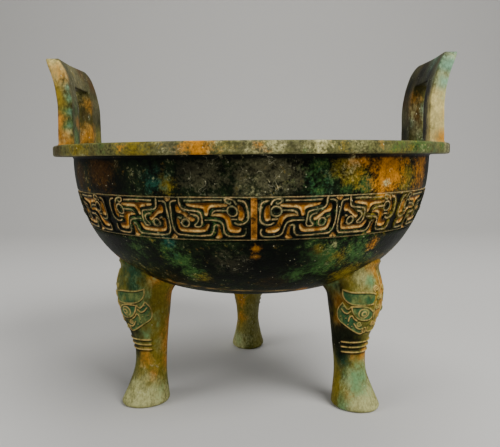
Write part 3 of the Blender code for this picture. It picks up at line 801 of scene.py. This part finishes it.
# The handles: two slotted plates cast on the rim, upright where they stand and bent outwards above. In
# plan they curve a little round the vessel. The right one is the taller.
HANDLE_HEIGHTS = {"handle_right": 53.2 * MM, "handle_left": 51.2 * MM}
HANDLE_HALF_WIDTH = 31.5 * MM
HANDLE_THICKNESS = 9.3 * MM
HANDLE_TOP_THICKNESS = 8.0 * MM
HANDLE_INNER_FACE = MOUTH_RADIUS + 1.5 * MM
HANDLE_PLAN_RADIUS = 290.0 * MM
HANDLE_SHOULDER_RADIUS = 7.0 * MM
HANDLE_EDGE_RADIUS = 1.1 * MM
BEND_START = 19.6 * MM
BEND_RADIUS = 69.0 * MM
SLOT_HALF_WIDTH = 14.0 * MM
TOP_BAR_HEIGHT = 15.2 * MM
SLOT_CORNER_RADIUS = 2.5 * MM
FOOT_FLARE = 0.8 * MM
FOOT_FLARE_HEIGHT = 2.0 * MM
HANDLE_UNEVENNESS = 0.16 * MM
HANDLE_WAVES_CLOSER = 2.2
POST_POINTS = 40
CORNER_POINTS = 13
ACROSS_POINTS = 16
FACE_POINTS = 7


def post_outline(half_width, top, corner, foot):
    """Half an outline from the foot to the middle: up a straight edge, round a corner and across."""
    post = straight((half_width, foot), (half_width, top - corner), POST_POINTS)
    bend = arc((half_width - corner, top - corner), corner, 0, 90, CORNER_POINTS)
    across = straight((half_width - corner, top), (0.0, top), ACROSS_POINTS)
    return np.concatenate([[(half_width, foot)], post, bend, across])


def handle_points(side, top):
    """The handle's section, a rounded rectangle, carried along the frame between slot and outline. Above
    the straight foot the plate follows an arc outwards, and in plan it falls back from its middle by
    y ^ 2 / (2 r). side is 1 or -1 along X, and top the handle's height over the rim."""
    foot = -RIM_THICKNESS / 2
    slot_top = top - TOP_BAR_HEIGHT
    outer = post_outline(HANDLE_HALF_WIDTH, top, HANDLE_SHOULDER_RADIUS, foot)
    inner = post_outline(SLOT_HALF_WIDTH, slot_top, SLOT_CORNER_RADIUS, foot)
    outer = np.concatenate([outer, [(0.0, top)], (outer * (-1, 1))[::-1]])
    inner = np.concatenate([inner, [(0.0, slot_top)], (inner * (-1, 1))[::-1]])
    width, depth, edge = HANDLE_HALF_WIDTH - SLOT_HALF_WIDTH, HANDLE_THICKNESS, HANDLE_EDGE_RADIUS
    corners = ((width - edge, depth - edge, 0), (edge, depth - edge, 90), (edge, edge, 180),
               (width - edge, edge, 270))
    arcs = [arc((x, y), edge, start, start + 90) for x, y, start in corners]
    section = np.concatenate([
        np.concatenate([points, straight(points[-1], following[0], FACE_POINTS)])
        for points, following in zip(arcs, arcs[1:] + arcs[:1])
    ])
    to_edge, to_back = section[:, 0] / width, section[:, 1] / depth
    place = inner[:, None] * (1 - to_edge[:, None]) + outer[:, None] * to_edge[:, None]
    y, height = place[..., 0], place[..., 1]
    rise = np.maximum(height - BEND_START, 0.0)
    lean = BEND_RADIUS - np.sqrt(BEND_RADIUS ** 2 - rise ** 2)
    share = np.clip(height / top, 0, 1)
    thickness = HANDLE_THICKNESS + (HANDLE_TOP_THICKNESS - HANDLE_THICKNESS) * share
    flare = FOOT_FLARE * (1 - np.clip(height / FOOT_FLARE_HEIGHT, 0, 1)) ** 2
    inner_face = HANDLE_INNER_FACE - y ** 2 / (2 * HANDLE_PLAN_RADIUS) + lean
    radial = inner_face + to_back * thickness + (to_back * 2 - 1) * flare * (to_back > 0.5)
    y = y + np.sign(y) * (to_edge * 2 - 1) * flare
    points = np.stack([radial, y, RIM_TOP + height], -1)
    bumps = unevenness(points * (side, side, 1) * HANDLE_WAVES_CLOSER, HANDLE_UNEVENNESS)
    points = points + np.stack([bumps, bumps * 0.5, bumps * 0], -1)
    return points * (side, side, 1)


# Where each colour gathers on a handle, in millimetres: distance outwards from the inner face, place
# across with the front negative, height above the rim, reach. The last number is its strength.
HANDLE_PLACES = {
    "handle_right": {
        "pale": (
            (2, 14, 24, 8, 0.4), (5, -33, 3, 11, 1.5), (5, -33, 14, 11, 1.5), (6, -33, 25, 10, 1.4),
            (9, -33, 36, 9, 1.1), (13, -32, 46, 8, 0.9),
        ),
        "teal": (
            (8, -32, 36, 8, 1.0), (10, -31, 44, 8, 1.15), (14, -28, 51, 6, 0.8), (10, -32, 12, 5, 0.6),
            (0, 14, 14, 5, 0.3), (7, -32, 26, 6, 0.5),
        ),
        "haze": ((0, 26, 18, 12, 0.6), (4, 14, 10, 9, 0.7)),
        "ochre": (
            (6, -32, 3, 7, 1.0), (2, 14, 30, 7, 0.72), (8, -32, 15, 6, 0.62), (6, -32, 25, 4, 0.45),
        ),
        "brown": ((3, 14, 20, 10, 1.0), (0, 26, 30, 9, 0.8), (4, 10, 47, 12, 0.6)),
        "green": ((10, 0, 40, 12, 0.5), (6, 14, 4, 6, 0.3)),
        # The dark places on the inner faces of the posts and the top bar are painted shade.
        "dark": (
            (0, -20, 10, 9, 1.4), (0, -20, 30, 9, 1.4), (3, -10, 44, 12, 1.1), (3, 8, 46, 12, 1.0),
            (0, 27, 6, 10, 0.9), (0, 24, 40, 9, 0.9),
        ),
    },
    "handle_left": {
        "ochre": (
            (8, -32, 4, 9, 1.2), (8, -32, 15, 7, 1.2), (6, -32, 42, 8, 0.8), (3, 14, 8, 9, 0.9),
            (0, -19, 14, 5, 0.7), (3, 14, 28, 7, 0.5),
        ),
        "olive": (
            (9, -32, 28, 8, 1.3), (9, -32, 35, 5, 1.0), (0, 26, 8, 8, 0.6), (12, -31, 50, 6, 0.8),
        ),
        "pale": (
            (6, -31, 43, 8, 1.0), (11, -30, 48, 7, 0.7), (1, -32, 8, 3, 0.7), (4, -32, 37, 5, 0.7),
            (8, -32, 2, 4, 0.4), (3, 14, 14, 5, 0.4),
        ),
        # The first five teal places run as a thin line up the edge between the front and inner faces: a
        # painted highlight on that edge.
        "teal": (
            (1, -32, 40, 2.5, 0.7), (0, -32, 34, 3, 0.72), (0, -32, 28, 3, 0.66),
            (0, -32, 20, 2.5, 0.55), (0, -32, 12, 2.5, 0.5), (3, 14, 20, 4, 0.35),
        ),
        "haze": ((3, 0, 46, 22, 0.8), (0, 26, 26, 12, 0.6), (0, -22, 32, 12, 0.6)),
        "brown": ((3, 14, 21, 6, 0.7), (4, 12, 50, 9, 0.9), (2, 26, 42, 8, 0.9), (8, -32, 21, 4, 0.5)),
        "green": (
            (2, -32, 12, 5, 1.2), (3, -32, 20, 5, 1.0), (1, -31, 27, 4, 0.9), (0, -24, 6, 8, 0.9),
            (0, 24, 6, 10, 0.8), (0, -22, 22, 8, 0.6), (4, -31, 50, 4, 0.7),
        ),
        "dark": ((0, 27, 20, 8, 0.5), (0, -24, 40, 8, 0.5)),
    },
}
# The outer face, which nothing in front shows, takes a few seeded places of each colour. These are the
# limits of their place across, height, reach and strength.
OUTER_FACE_MM = 16.0
OUTER_PLACES = 4
OUTER_RANGES = ((-30, 34), (0, 50), (6, 13), (0.5, 1.0))


def handle_patina(name, side, points):
    """The colour fields of a handle, with seeded places on its outer face, which nothing in front shows."""
    draw = np.random.default_rng(21 + side)
    fields = {}
    for label in ("haze", "brown", "green", "olive", "teal", "ochre", "dark", "pale"):
        drawn = [draw.uniform(low, high, OUTER_PLACES) for low, high in OUTER_RANGES]
        hidden = np.stack([np.full(OUTER_PLACES, OUTER_FACE_MM), *drawn], -1)
        places = np.concatenate([listed(HANDLE_PLACES[name], label, 5), hidden])
        centres = np.stack([side * (HANDLE_INNER_FACE / MM + places[:, 0]), places[:, 1],
                            RIM_TOP / MM + places[:, 2]], -1)
        fields[label] = gathered(points, centres, places)
    return fields


handle_bronze = patinated_bronze(
    "worn_earthy_patina", (), ("#494522", "#2C301A"), (
        ("haze", "#6B6746", 0), ("brown", "#4A3112", 1), ("green", "#567440", 2), ("olive", "#8A7422", 0),
        ("dark", "#080B06", 0), ("pale", "#D8C67E", 1), ("ochre", "#BC8028", 2), ("teal", "#7CA888", 1)),
    breakup=(0.8, 1.1, 0.6), edge=(0.15, 1.15), tones=(0.68, 1.28), streak=0.6, roughness=0.46)
for handle_side, handle_name in ((1, "handle_right"), (-1, "handle_left")):
    plate_points = handle_points(handle_side, HANDLE_HEIGHTS[handle_name])
    handle = skin(handle_name, plate_points, handle_patina(handle_name, handle_side, plate_points))
    dress(handle, handle_bronze)


# The legs: solid cast hooves and shins, oval in section, cast on under the belly at uneven bearings.
# Each knee carries a beast mask in low relief, and three rings go round the front of the shin.
LEG_BEARINGS = {"leg_back": 93.0, "leg_front_left": 206.6, "leg_front_right": 326.1}
LEG_CIRCLE_RADIUS = NECK_RADIUS - 36.9 * MM
KNEE_DEPTH = 33.6 * MM
KNEE_WIDTH = 28.4 * MM
MASK_TURN = math.radians(-9)
SOLE_EDGE_RADIUS = 2.4 * MM
ROOT_FILLET = 2.2 * MM
ROOT_FILLET_HEIGHT = 6.0 * MM
ROOT_SINK = 2.4 * MM
UNDER_RINGS = 33.0 * MM
CHIN_HEIGHT = 46.0 * MM
ROOT_ROUNDS = 12
LEG_UNEVENNESS = 0.2 * MM
LEG_WAVES_CLOSER = 2.0
SOLE_ROWS = 6
SHIN_ROWS = 46
KNEE_ROWS = 121
LEG_COLUMNS = 300
MASK_COLUMNS_SHARE = 0.74
MASK_COLUMNS_REACH = math.radians(100)
# Sections of the leg: height as a share of the underside's, centre beyond the leg circle and half depth
# as shares of the knee's depth, and half width as a share of the knee's width.
LEG_SECTIONS = np.array((
    (0.04, 0.036, 0.432, 0.426),
    (0.18, -0.016, 0.353, 0.349),
    (0.33, -0.067, 0.290, 0.292),
    (0.48, -0.086, 0.283, 0.306),
    (0.64, -0.068, 0.327, 0.377),
    (0.83, -0.016, 0.418, 0.454),
    (1.06, 0.0, 0.500, 0.500),
    (1.36, -0.160, 0.520, 0.500),
))
RING_HEIGHTS_MM = (41.2, 38.1, 34.9)
RING_REACH_DEG = 88.0
RING_HEIGHT_MM = 0.75
RING_HALF_WIDTH_MM = 0.7

# One half of the mask. A point is an angle round the leg from the middle of the mask in degrees, and a
# height above the ground in millimetres.
MASK_AROUND_MM = 14.3
MASK_LINES = {
    "brow": ((14, 70.5), (20, 71.3), (35, 71.8), (51, 71.7), (65, 71.6), (75, 72.2), (82, 72.8)),
    "under_brow": ((82, 72.8), (84, 69.5), (78, 66.5), (66, 64.7), (50, 64.4), (30, 64.4), (18, 64.8)),
    "upper_lid": ((65.5, 63.2), (55, 63.5), (40, 63.7), (26, 62.6), (15, 60.3)),
    "lower_lid": ((65.5, 63.2), (61.5, 59.8), (53, 56.8), (40, 55.3), (21, 55.2), (14, 56.7)),
    "ear": (
        (84.5, 65.2), (94.5, 62), (98.5, 58.3), (94.5, 54.3), (79, 52.3), (58.5, 49.2), (35, 46.4),
        (27, 47.2),
    ),
    "ear_inside": ((84.5, 65.2), (79, 62.7), (72, 61.3), (66.5, 63.0)),
    "ear_curl": ((87, 61.5), (80.5, 59.5), (72, 58.9), (67, 60.6)),
    "cheek": ((69, 54.6), (68, 57.0), (62.5, 58.3), (58, 56.3), (50, 55.0)),
    "muzzle": ((56, 53.3), (48, 50.7), (38, 49.6), (32, 50.2)),
    "lip": ((0, 47.6), (10, 47.4), (18, 48.6)),
    "nose_side": ((12, 66.0), (13.5, 62.0), (11.5, 58.0), (7, 55.6)),
    "forehead_ridge": ((0, 75.5), (0, 83)),
}
# Curls: angle and height of the centre, radius in millimetres, where the curl starts in degrees and how
# many turns it makes inwards.
MASK_CURLS = ((25, 49.3, 2.2, 150, 1.5), (43.5, 53.0, 1.6, 200, 1.3), (12, 73.8, 1.9, -60, 1.4),
              (5.5, 68.6, 1.6, 90, 1.3), (5.5, 62.6, 1.5, 90, 1.3), (6, 53.0, 1.7, 200, 1.3))
MASK_DOTS = ((82.2, 63.0), (75.5, 56.3), (69.5, 52.5), (88, 57.0), (60, 51.5))
MASK_PLATES = (
    (
        (14, 70.5), (35, 71.8), (65, 71.6), (82, 72.8), (84, 69.5), (78, 66.5), (66, 64.6), (50, 64.3),
        (18, 64.6),
    ),
    (
        (84.5, 65.2), (94.5, 62), (98.5, 58.3), (94.5, 54.3), (79, 52.3), (58.5, 49.2), (35, 46.4),
        (30, 50.5), (50, 54.8), (69, 57.5), (72, 61.3),
    ),
    (
        (65.5, 63.2), (61.5, 59.8), (53, 56.8), (40, 55.3), (21, 55.2), (14, 57), (15, 60.3),
        (26, 62.6), (40, 63.7),
    ),
)
MASK_EYE = (38.0, 59.5)
MASK_EYE_RADIUS_MM = 2.7
MASK_PUPIL_RADIUS_MM = 1.2
MASK_EYE_HEIGHT_MM = 1.1
MASK_LINE_HEIGHT_MM = 0.6
MASK_LINE_HALF_WIDTH_MM = 0.29
MASK_PLATE_HEIGHT_MM = 0.35
MASK_SHADOW_MM = 0.75
RING_SHADOW_MM = 1.0


def leg_section(height):
    """Centre beyond the leg circle, half depth and half width at each height, between the listed
    sections by a smooth cubic through them with averaged slopes."""
    at = LEG_SECTIONS[:, 0] * UNDERSIDE_HEIGHT
    values = LEG_SECTIONS[:, 1:] * (KNEE_DEPTH, KNEE_DEPTH, KNEE_WIDTH)
    slopes = np.gradient(values, at, axis=0)
    held = np.clip(height, at[0], at[-1])
    low = np.clip(np.searchsorted(at, held, side="right") - 1, 0, len(at) - 2)
    step = at[low + 1] - at[low]
    share = ((held - at[low]) / step)[..., None]
    step = step[..., None]
    return ((2 * share ** 3 - 3 * share ** 2 + 1) * values[low]
            + (share ** 3 - 2 * share ** 2 + share) * step * slopes[low]
            + (3 * share ** 2 - 2 * share ** 3) * values[low + 1]
            + (share ** 3 - share ** 2) * step * slopes[low + 1])


def leg_skin(angle, height):
    """Points on the plain oval leg along +X, and the level outward direction there."""
    centre, depth, width = np.moveaxis(leg_section(height), -1, 0)
    along = LEG_CIRCLE_RADIUS + centre + depth * np.cos(angle)
    points = np.stack([along, width * np.sin(angle), height], -1)
    outward = np.stack([np.cos(angle) / depth, np.sin(angle) / width, np.zeros_like(angle)], -1)
    return points, outward / np.linalg.norm(outward, axis=-1, keepdims=True)


def carried_round(points, bearing):
    """Points turned about the Z axis: x cos - y sin and x sin + y cos of the bearing."""
    x, y, z = np.moveaxis(points, -1, 0)
    cosine, sine = math.cos(bearing), math.sin(bearing)
    return np.stack([x * cosine - y * sine, x * sine + y * cosine, z], -1)


def rings(up):
    """The sum of the rings' ridges, exp(-(distance / half width) ^ 2), at a height in millimetres."""
    return sum(np.exp(-((up - at) / RING_HALF_WIDTH_MM) ** 2) for at in RING_HEIGHTS_MM)


def mask_relief(angle, height):
    """Height of the mask and the rings over the leg in millimetres, and how far each place is a raised
    line, a plate or the dark just below a line. The mask is drawn on the unrolled leg; each line is a
    ridge exp(-(distance / half width) ^ 2), and a curl is a spiral whose radius shrinks evenly."""
    off_middle = np.abs((angle - MASK_TURN + math.pi) % (2 * math.pi) - math.pi)
    around, up = off_middle * MASK_AROUND_MM, height / MM

    def unrolled(points):
        """Points of the mask in millimetres."""
        points = np.array(points, float)
        return np.stack([np.radians(points[:, 0]) * MASK_AROUND_MM, points[:, 1]], -1)

    lines = [rounded(unrolled(line)) for line in MASK_LINES.values()]
    for at, height_mm, radius, start, turns in MASK_CURLS:
        turn = math.radians(start) + np.linspace(0, 2 * math.pi * turns, 20)
        reach = radius * np.linspace(1, 0.2, 20)
        spiral = np.stack([reach * np.cos(turn), reach * np.sin(turn)], -1)
        lines.append(unrolled([(at, height_mm)]) + spiral)
    lines += [unrolled([dot, dot]) for dot in MASK_DOTS]
    (eye_x, eye_y), = unrolled([MASK_EYE])
    from_eye = np.hypot(around - eye_x, up - eye_y)
    nearest = np.min([distance_to(line, around, up) for line in lines], 0)
    for radius in (MASK_EYE_RADIUS_MM, MASK_PUPIL_RADIUS_MM):
        nearest = np.minimum(nearest, np.abs(from_eye - radius))
    ridge = np.exp(-(nearest / MASK_LINE_HALF_WIDTH_MM) ** 2)
    above = np.min([distance_to(line, around, up + MASK_SHADOW_MM) for line in lines], 0)
    shadow = np.exp(-(above / (1.1 * MASK_LINE_HALF_WIDTH_MM)) ** 2) * (1 - ridge)
    depths = [depth_inside(rounded(unrolled(plate), closed=True), around, up) for plate in MASK_PLATES]
    plate = np.max([smoothstep(-0.3, 0.3, depth) for depth in depths], 0)
    dome = 1 - np.minimum(from_eye / (MASK_EYE_RADIUS_MM - 0.4), 1) ** 2
    reach = 1 - smoothstep(RING_REACH_DEG - 8, RING_REACH_DEG + 8, np.degrees(off_middle))
    ring = rings(up) * reach
    relief_mm = (MASK_LINE_HEIGHT_MM * ridge + MASK_PLATE_HEIGHT_MM * plate * (1 - ridge)
                 + MASK_EYE_HEIGHT_MM * np.sqrt(dome) + RING_HEIGHT_MM * ring)
    shadow = np.maximum(shadow, rings(up + RING_SHADOW_MM) * reach * (1 - ring))
    ring_crest = np.clip(ring * 2.2 - 1.2, 0, 1)
    return relief_mm, {"ridge": np.maximum(ridge, ring_crest), "plate": np.maximum(plate, np.sqrt(dome)),
                       "shadow": shadow}


def leg_points(bearing):
    """The leg from its sole into the bowl's wall: rows of constant height up to the mask's chin, then
    rows that rise evenly to where the skin meets the belly, with a fillet that widens towards it. That
    height is found in rounds, each from the belly's height over the leg at the last one."""
    steps = np.linspace(-1, 1, LEG_COLUMNS, endpoint=False)
    angle = MASK_TURN + np.interp(steps, (-1, -MASK_COLUMNS_SHARE, MASK_COLUMNS_SHARE, 1),
                                  (-math.pi, -MASK_COLUMNS_REACH, MASK_COLUMNS_REACH, math.pi))
    root = np.full_like(angle, UNDERSIDE_HEIGHT)
    for _ in range(ROOT_ROUNDS):
        points, _ = leg_skin(angle, root)
        root = belly_height(from_axis(points))
    sole = 1 - np.cos(np.linspace(0, math.pi / 2, SOLE_ROWS))
    shin = np.concatenate([sole * SOLE_EDGE_RADIUS,
                           np.linspace(SOLE_EDGE_RADIUS, UNDER_RINGS, SHIN_ROWS)[1:],
                           np.linspace(UNDER_RINGS, CHIN_HEIGHT, SHIN_ROWS)[1:]])
    knee = np.linspace(0, 1, KNEE_ROWS)[1:, None]
    heights = np.vstack([np.broadcast_to(shin[:, None], (len(shin), LEG_COLUMNS)),
                         CHIN_HEIGHT + (root + ROOT_SINK - CHIN_HEIGHT) * knee])
    angle = np.broadcast_to(angle, heights.shape)
    points, outward = leg_skin(angle, heights)
    relief_mm, marks = mask_relief(angle, heights)
    drop = np.clip(1 - heights / SOLE_EDGE_RADIUS, 0, 1)
    sole_inset = SOLE_EDGE_RADIUS * (1 - np.sqrt(1 - drop ** 2))
    to_belly = belly_height(from_axis(points)) - heights
    fillet = ROOT_FILLET * np.clip(1 - to_belly / ROOT_FILLET_HEIGHT, 0, 1) ** 2
    lift = relief_mm * MM + fillet - sole_inset
    lift = lift + unevenness(points * LEG_WAVES_CLOSER + bearing, LEG_UNEVENNESS)
    points = points + outward * lift[..., None]
    points[..., 2] = np.maximum(points[..., 2], 0.0)
    return carried_round(points, bearing), marks


# Where each colour gathers on the two front legs: angle from the leg's outer side in degrees, height and
# reach in millimetres, strength. The back leg takes the left one's.
LEG_PLACES = {
    "leg_front_right": {
        "ochre": (
            (-20, 85, 8, 0.8), (2, 74, 6, 0.9), (6, 62, 6, 0.8), (-104, 66, 5, 0.9), (-104, 54, 5, 0.9),
            (-62, 86, 5, 0.7), (-14, 33, 5, 0.9), (-55, 32, 3, 0.6), (-80, 7, 5, 0.8),
            (-66, 22, 3, 0.5),
        ),
        "olive": (
            (-90, 80, 9, 0.9), (-20, 72, 10, 0.8), (-125, 60, 12, 0.9), (-30, 26, 8, 0.9),
            (-125, 14, 8, 1.0), (20, 50, 12, 0.8), (-110, 24, 6, 0.8),
        ),
        "pale": (
            (-52, 81, 7, 0.9), (-34, 76, 5, 0.5), (-36, 5, 12, 1.15), (-62, 3, 10, 0.9),
            (-14, 5, 10, 1.0), (-48, 17, 8, 0.9), (-86, 10, 6, 0.5),
        ),
        "green": (
            (-32, 78, 3.5, 0.9), (-52, 18, 8, 0.75), (-36, 20, 8, 0.9), (-98, 5, 6, 0.7),
            (-110, 76, 8, 0.6), (-80, 14, 5, 0.4), (-96, 48, 5, 0.5),
        ),
        "teal": ((-92, 29, 6, 1.0), (-84, 22, 5, 0.8), (-60, 24, 3, 0.4)),
        # The dark places on this leg's side turned away from the key light are partly dark patina and
        # partly painted shade.
        "dark": (
            (-95, 42, 11, 1.3), (-130, 45, 10, 1.1), (-66, 41, 9, 1.2), (-104, 33, 6, 0.9),
            (-95, 76, 6, 0.7), (-150, 60, 14, 0.9), (-86, 30, 4, 0.5),
        ),
        "haze": ((60, 60, 20, 0.8), (120, 30, 20, 0.8)),
        "brown": ((-80, 84, 6, 0.7), (-118, 70, 8, 0.7), (150, 70, 14, 0.7)),
    },
    "leg_front_left": {
        "teal": ((38, 84, 9, 1.0), (50, 76, 7, 0.8), (95, 36, 4, 0.5)),
        "green": (
            (70, 66, 10, 0.5), (98, 52, 8, 0.5), (64, 46, 7, 0.6), (100, 40, 6, 0.4), (118, 8, 8, 0.3),
        ),
        "olive": (
            (108, 70, 11, 1.1), (118, 56, 12, 1.2), (82, 36, 9, 1.0), (110, 26, 10, 1.1),
            (70, 24, 9, 0.9), (140, 42, 10, 0.9),
        ),
        "ochre": (
            (90, 80, 6, 0.8), (144, 66, 6, 0.9), (146, 50, 6, 0.9), (138, 38, 6, 0.9),
            (116, 44, 4, 0.7), (140, 26, 5, 0.7), (50, 30, 5, 0.7), (84, 19, 3.2, 0.9),
            (76, 86, 5, 0.6),
        ),
        "pale": (
            (60, 3, 12, 0.95), (92, 3, 11, 0.9), (20, 6, 10, 0.8), (70, 15, 8, 0.55), (128, 3, 9, 0.7),
        ),
        "haze": ((80, 13, 13, 0.9), (-60, 50, 22, 0.8), (-120, 30, 20, 0.8), (180, 20, 18, 0.7)),
        # The dark places at the top, where the leg meets the belly, are painted shade; the others are dark
        # patina. The back leg takes them too.
        "dark": (
            (10, 46, 9, 1.0), (5, 36, 7, 0.9), (170, 80, 8, 0.6), (-40, 30, 12, 0.7), (112, 87, 5, 0.8),
        ),
        "brown": ((104, 82, 7, 0.9), (150, 74, 7, 0.8), (150, 58, 6, 0.6)),
    },
}
LEG_PLACES["leg_back"] = LEG_PLACES["leg_front_left"]
LEG_COLOURS = (
    ("haze", "#868450", 0), ("brown", "#563A14", 1), ("olive", "#7C6C1A", 0), ("teal", "#1F422E", 1),
    ("ochre", "#AE7420", 2), ("pale", "#B0AE74", 1), ("green", "#64895A", 2), ("dark", "#0A0E08", 0),
)
# Distances up and down count for less, so that the colours run down the leg.
RUN_DOWN = (1.0, 1.0, 0.7)


def leg_patina(name, points, bearing):
    """The colour fields of a leg, whose places are carried round to its bearing and run down the shin."""
    fields = {}
    for label, _, _ in LEG_COLOURS:
        places = listed(LEG_PLACES[name], label, 4)
        centres, _ = leg_skin(np.radians(places[:, 0]), places[:, 1] * MM)
        centres = carried_round(centres / MM, bearing)
        fields[label] = gathered(points * RUN_DOWN, centres * RUN_DOWN, places)
    return fields


leg_bronze = patinated_bronze(
    "streaked_verdigris_patina", (
        ("plate", "#325634", "#6C7842"), ("shadow", "#0E1208", "#221E06"), ("ridge", "#D2AA64", "#A09A54")),
    ("#6A6420", "#36461C"), LEG_COLOURS, breakup=(1.2, 1.5, 0.7), edge=(0.12, 1.05), tones=(0.62, 1.32),
    streak=0.62, roughness=0.46)
for leg_name, leg_bearing in LEG_BEARINGS.items():
    bearing = math.radians(leg_bearing)
    points, marks = leg_points(bearing)
    leg = skin(leg_name, points, {**leg_patina(leg_name, points, bearing), **marks})
    dress(leg, leg_bronze)
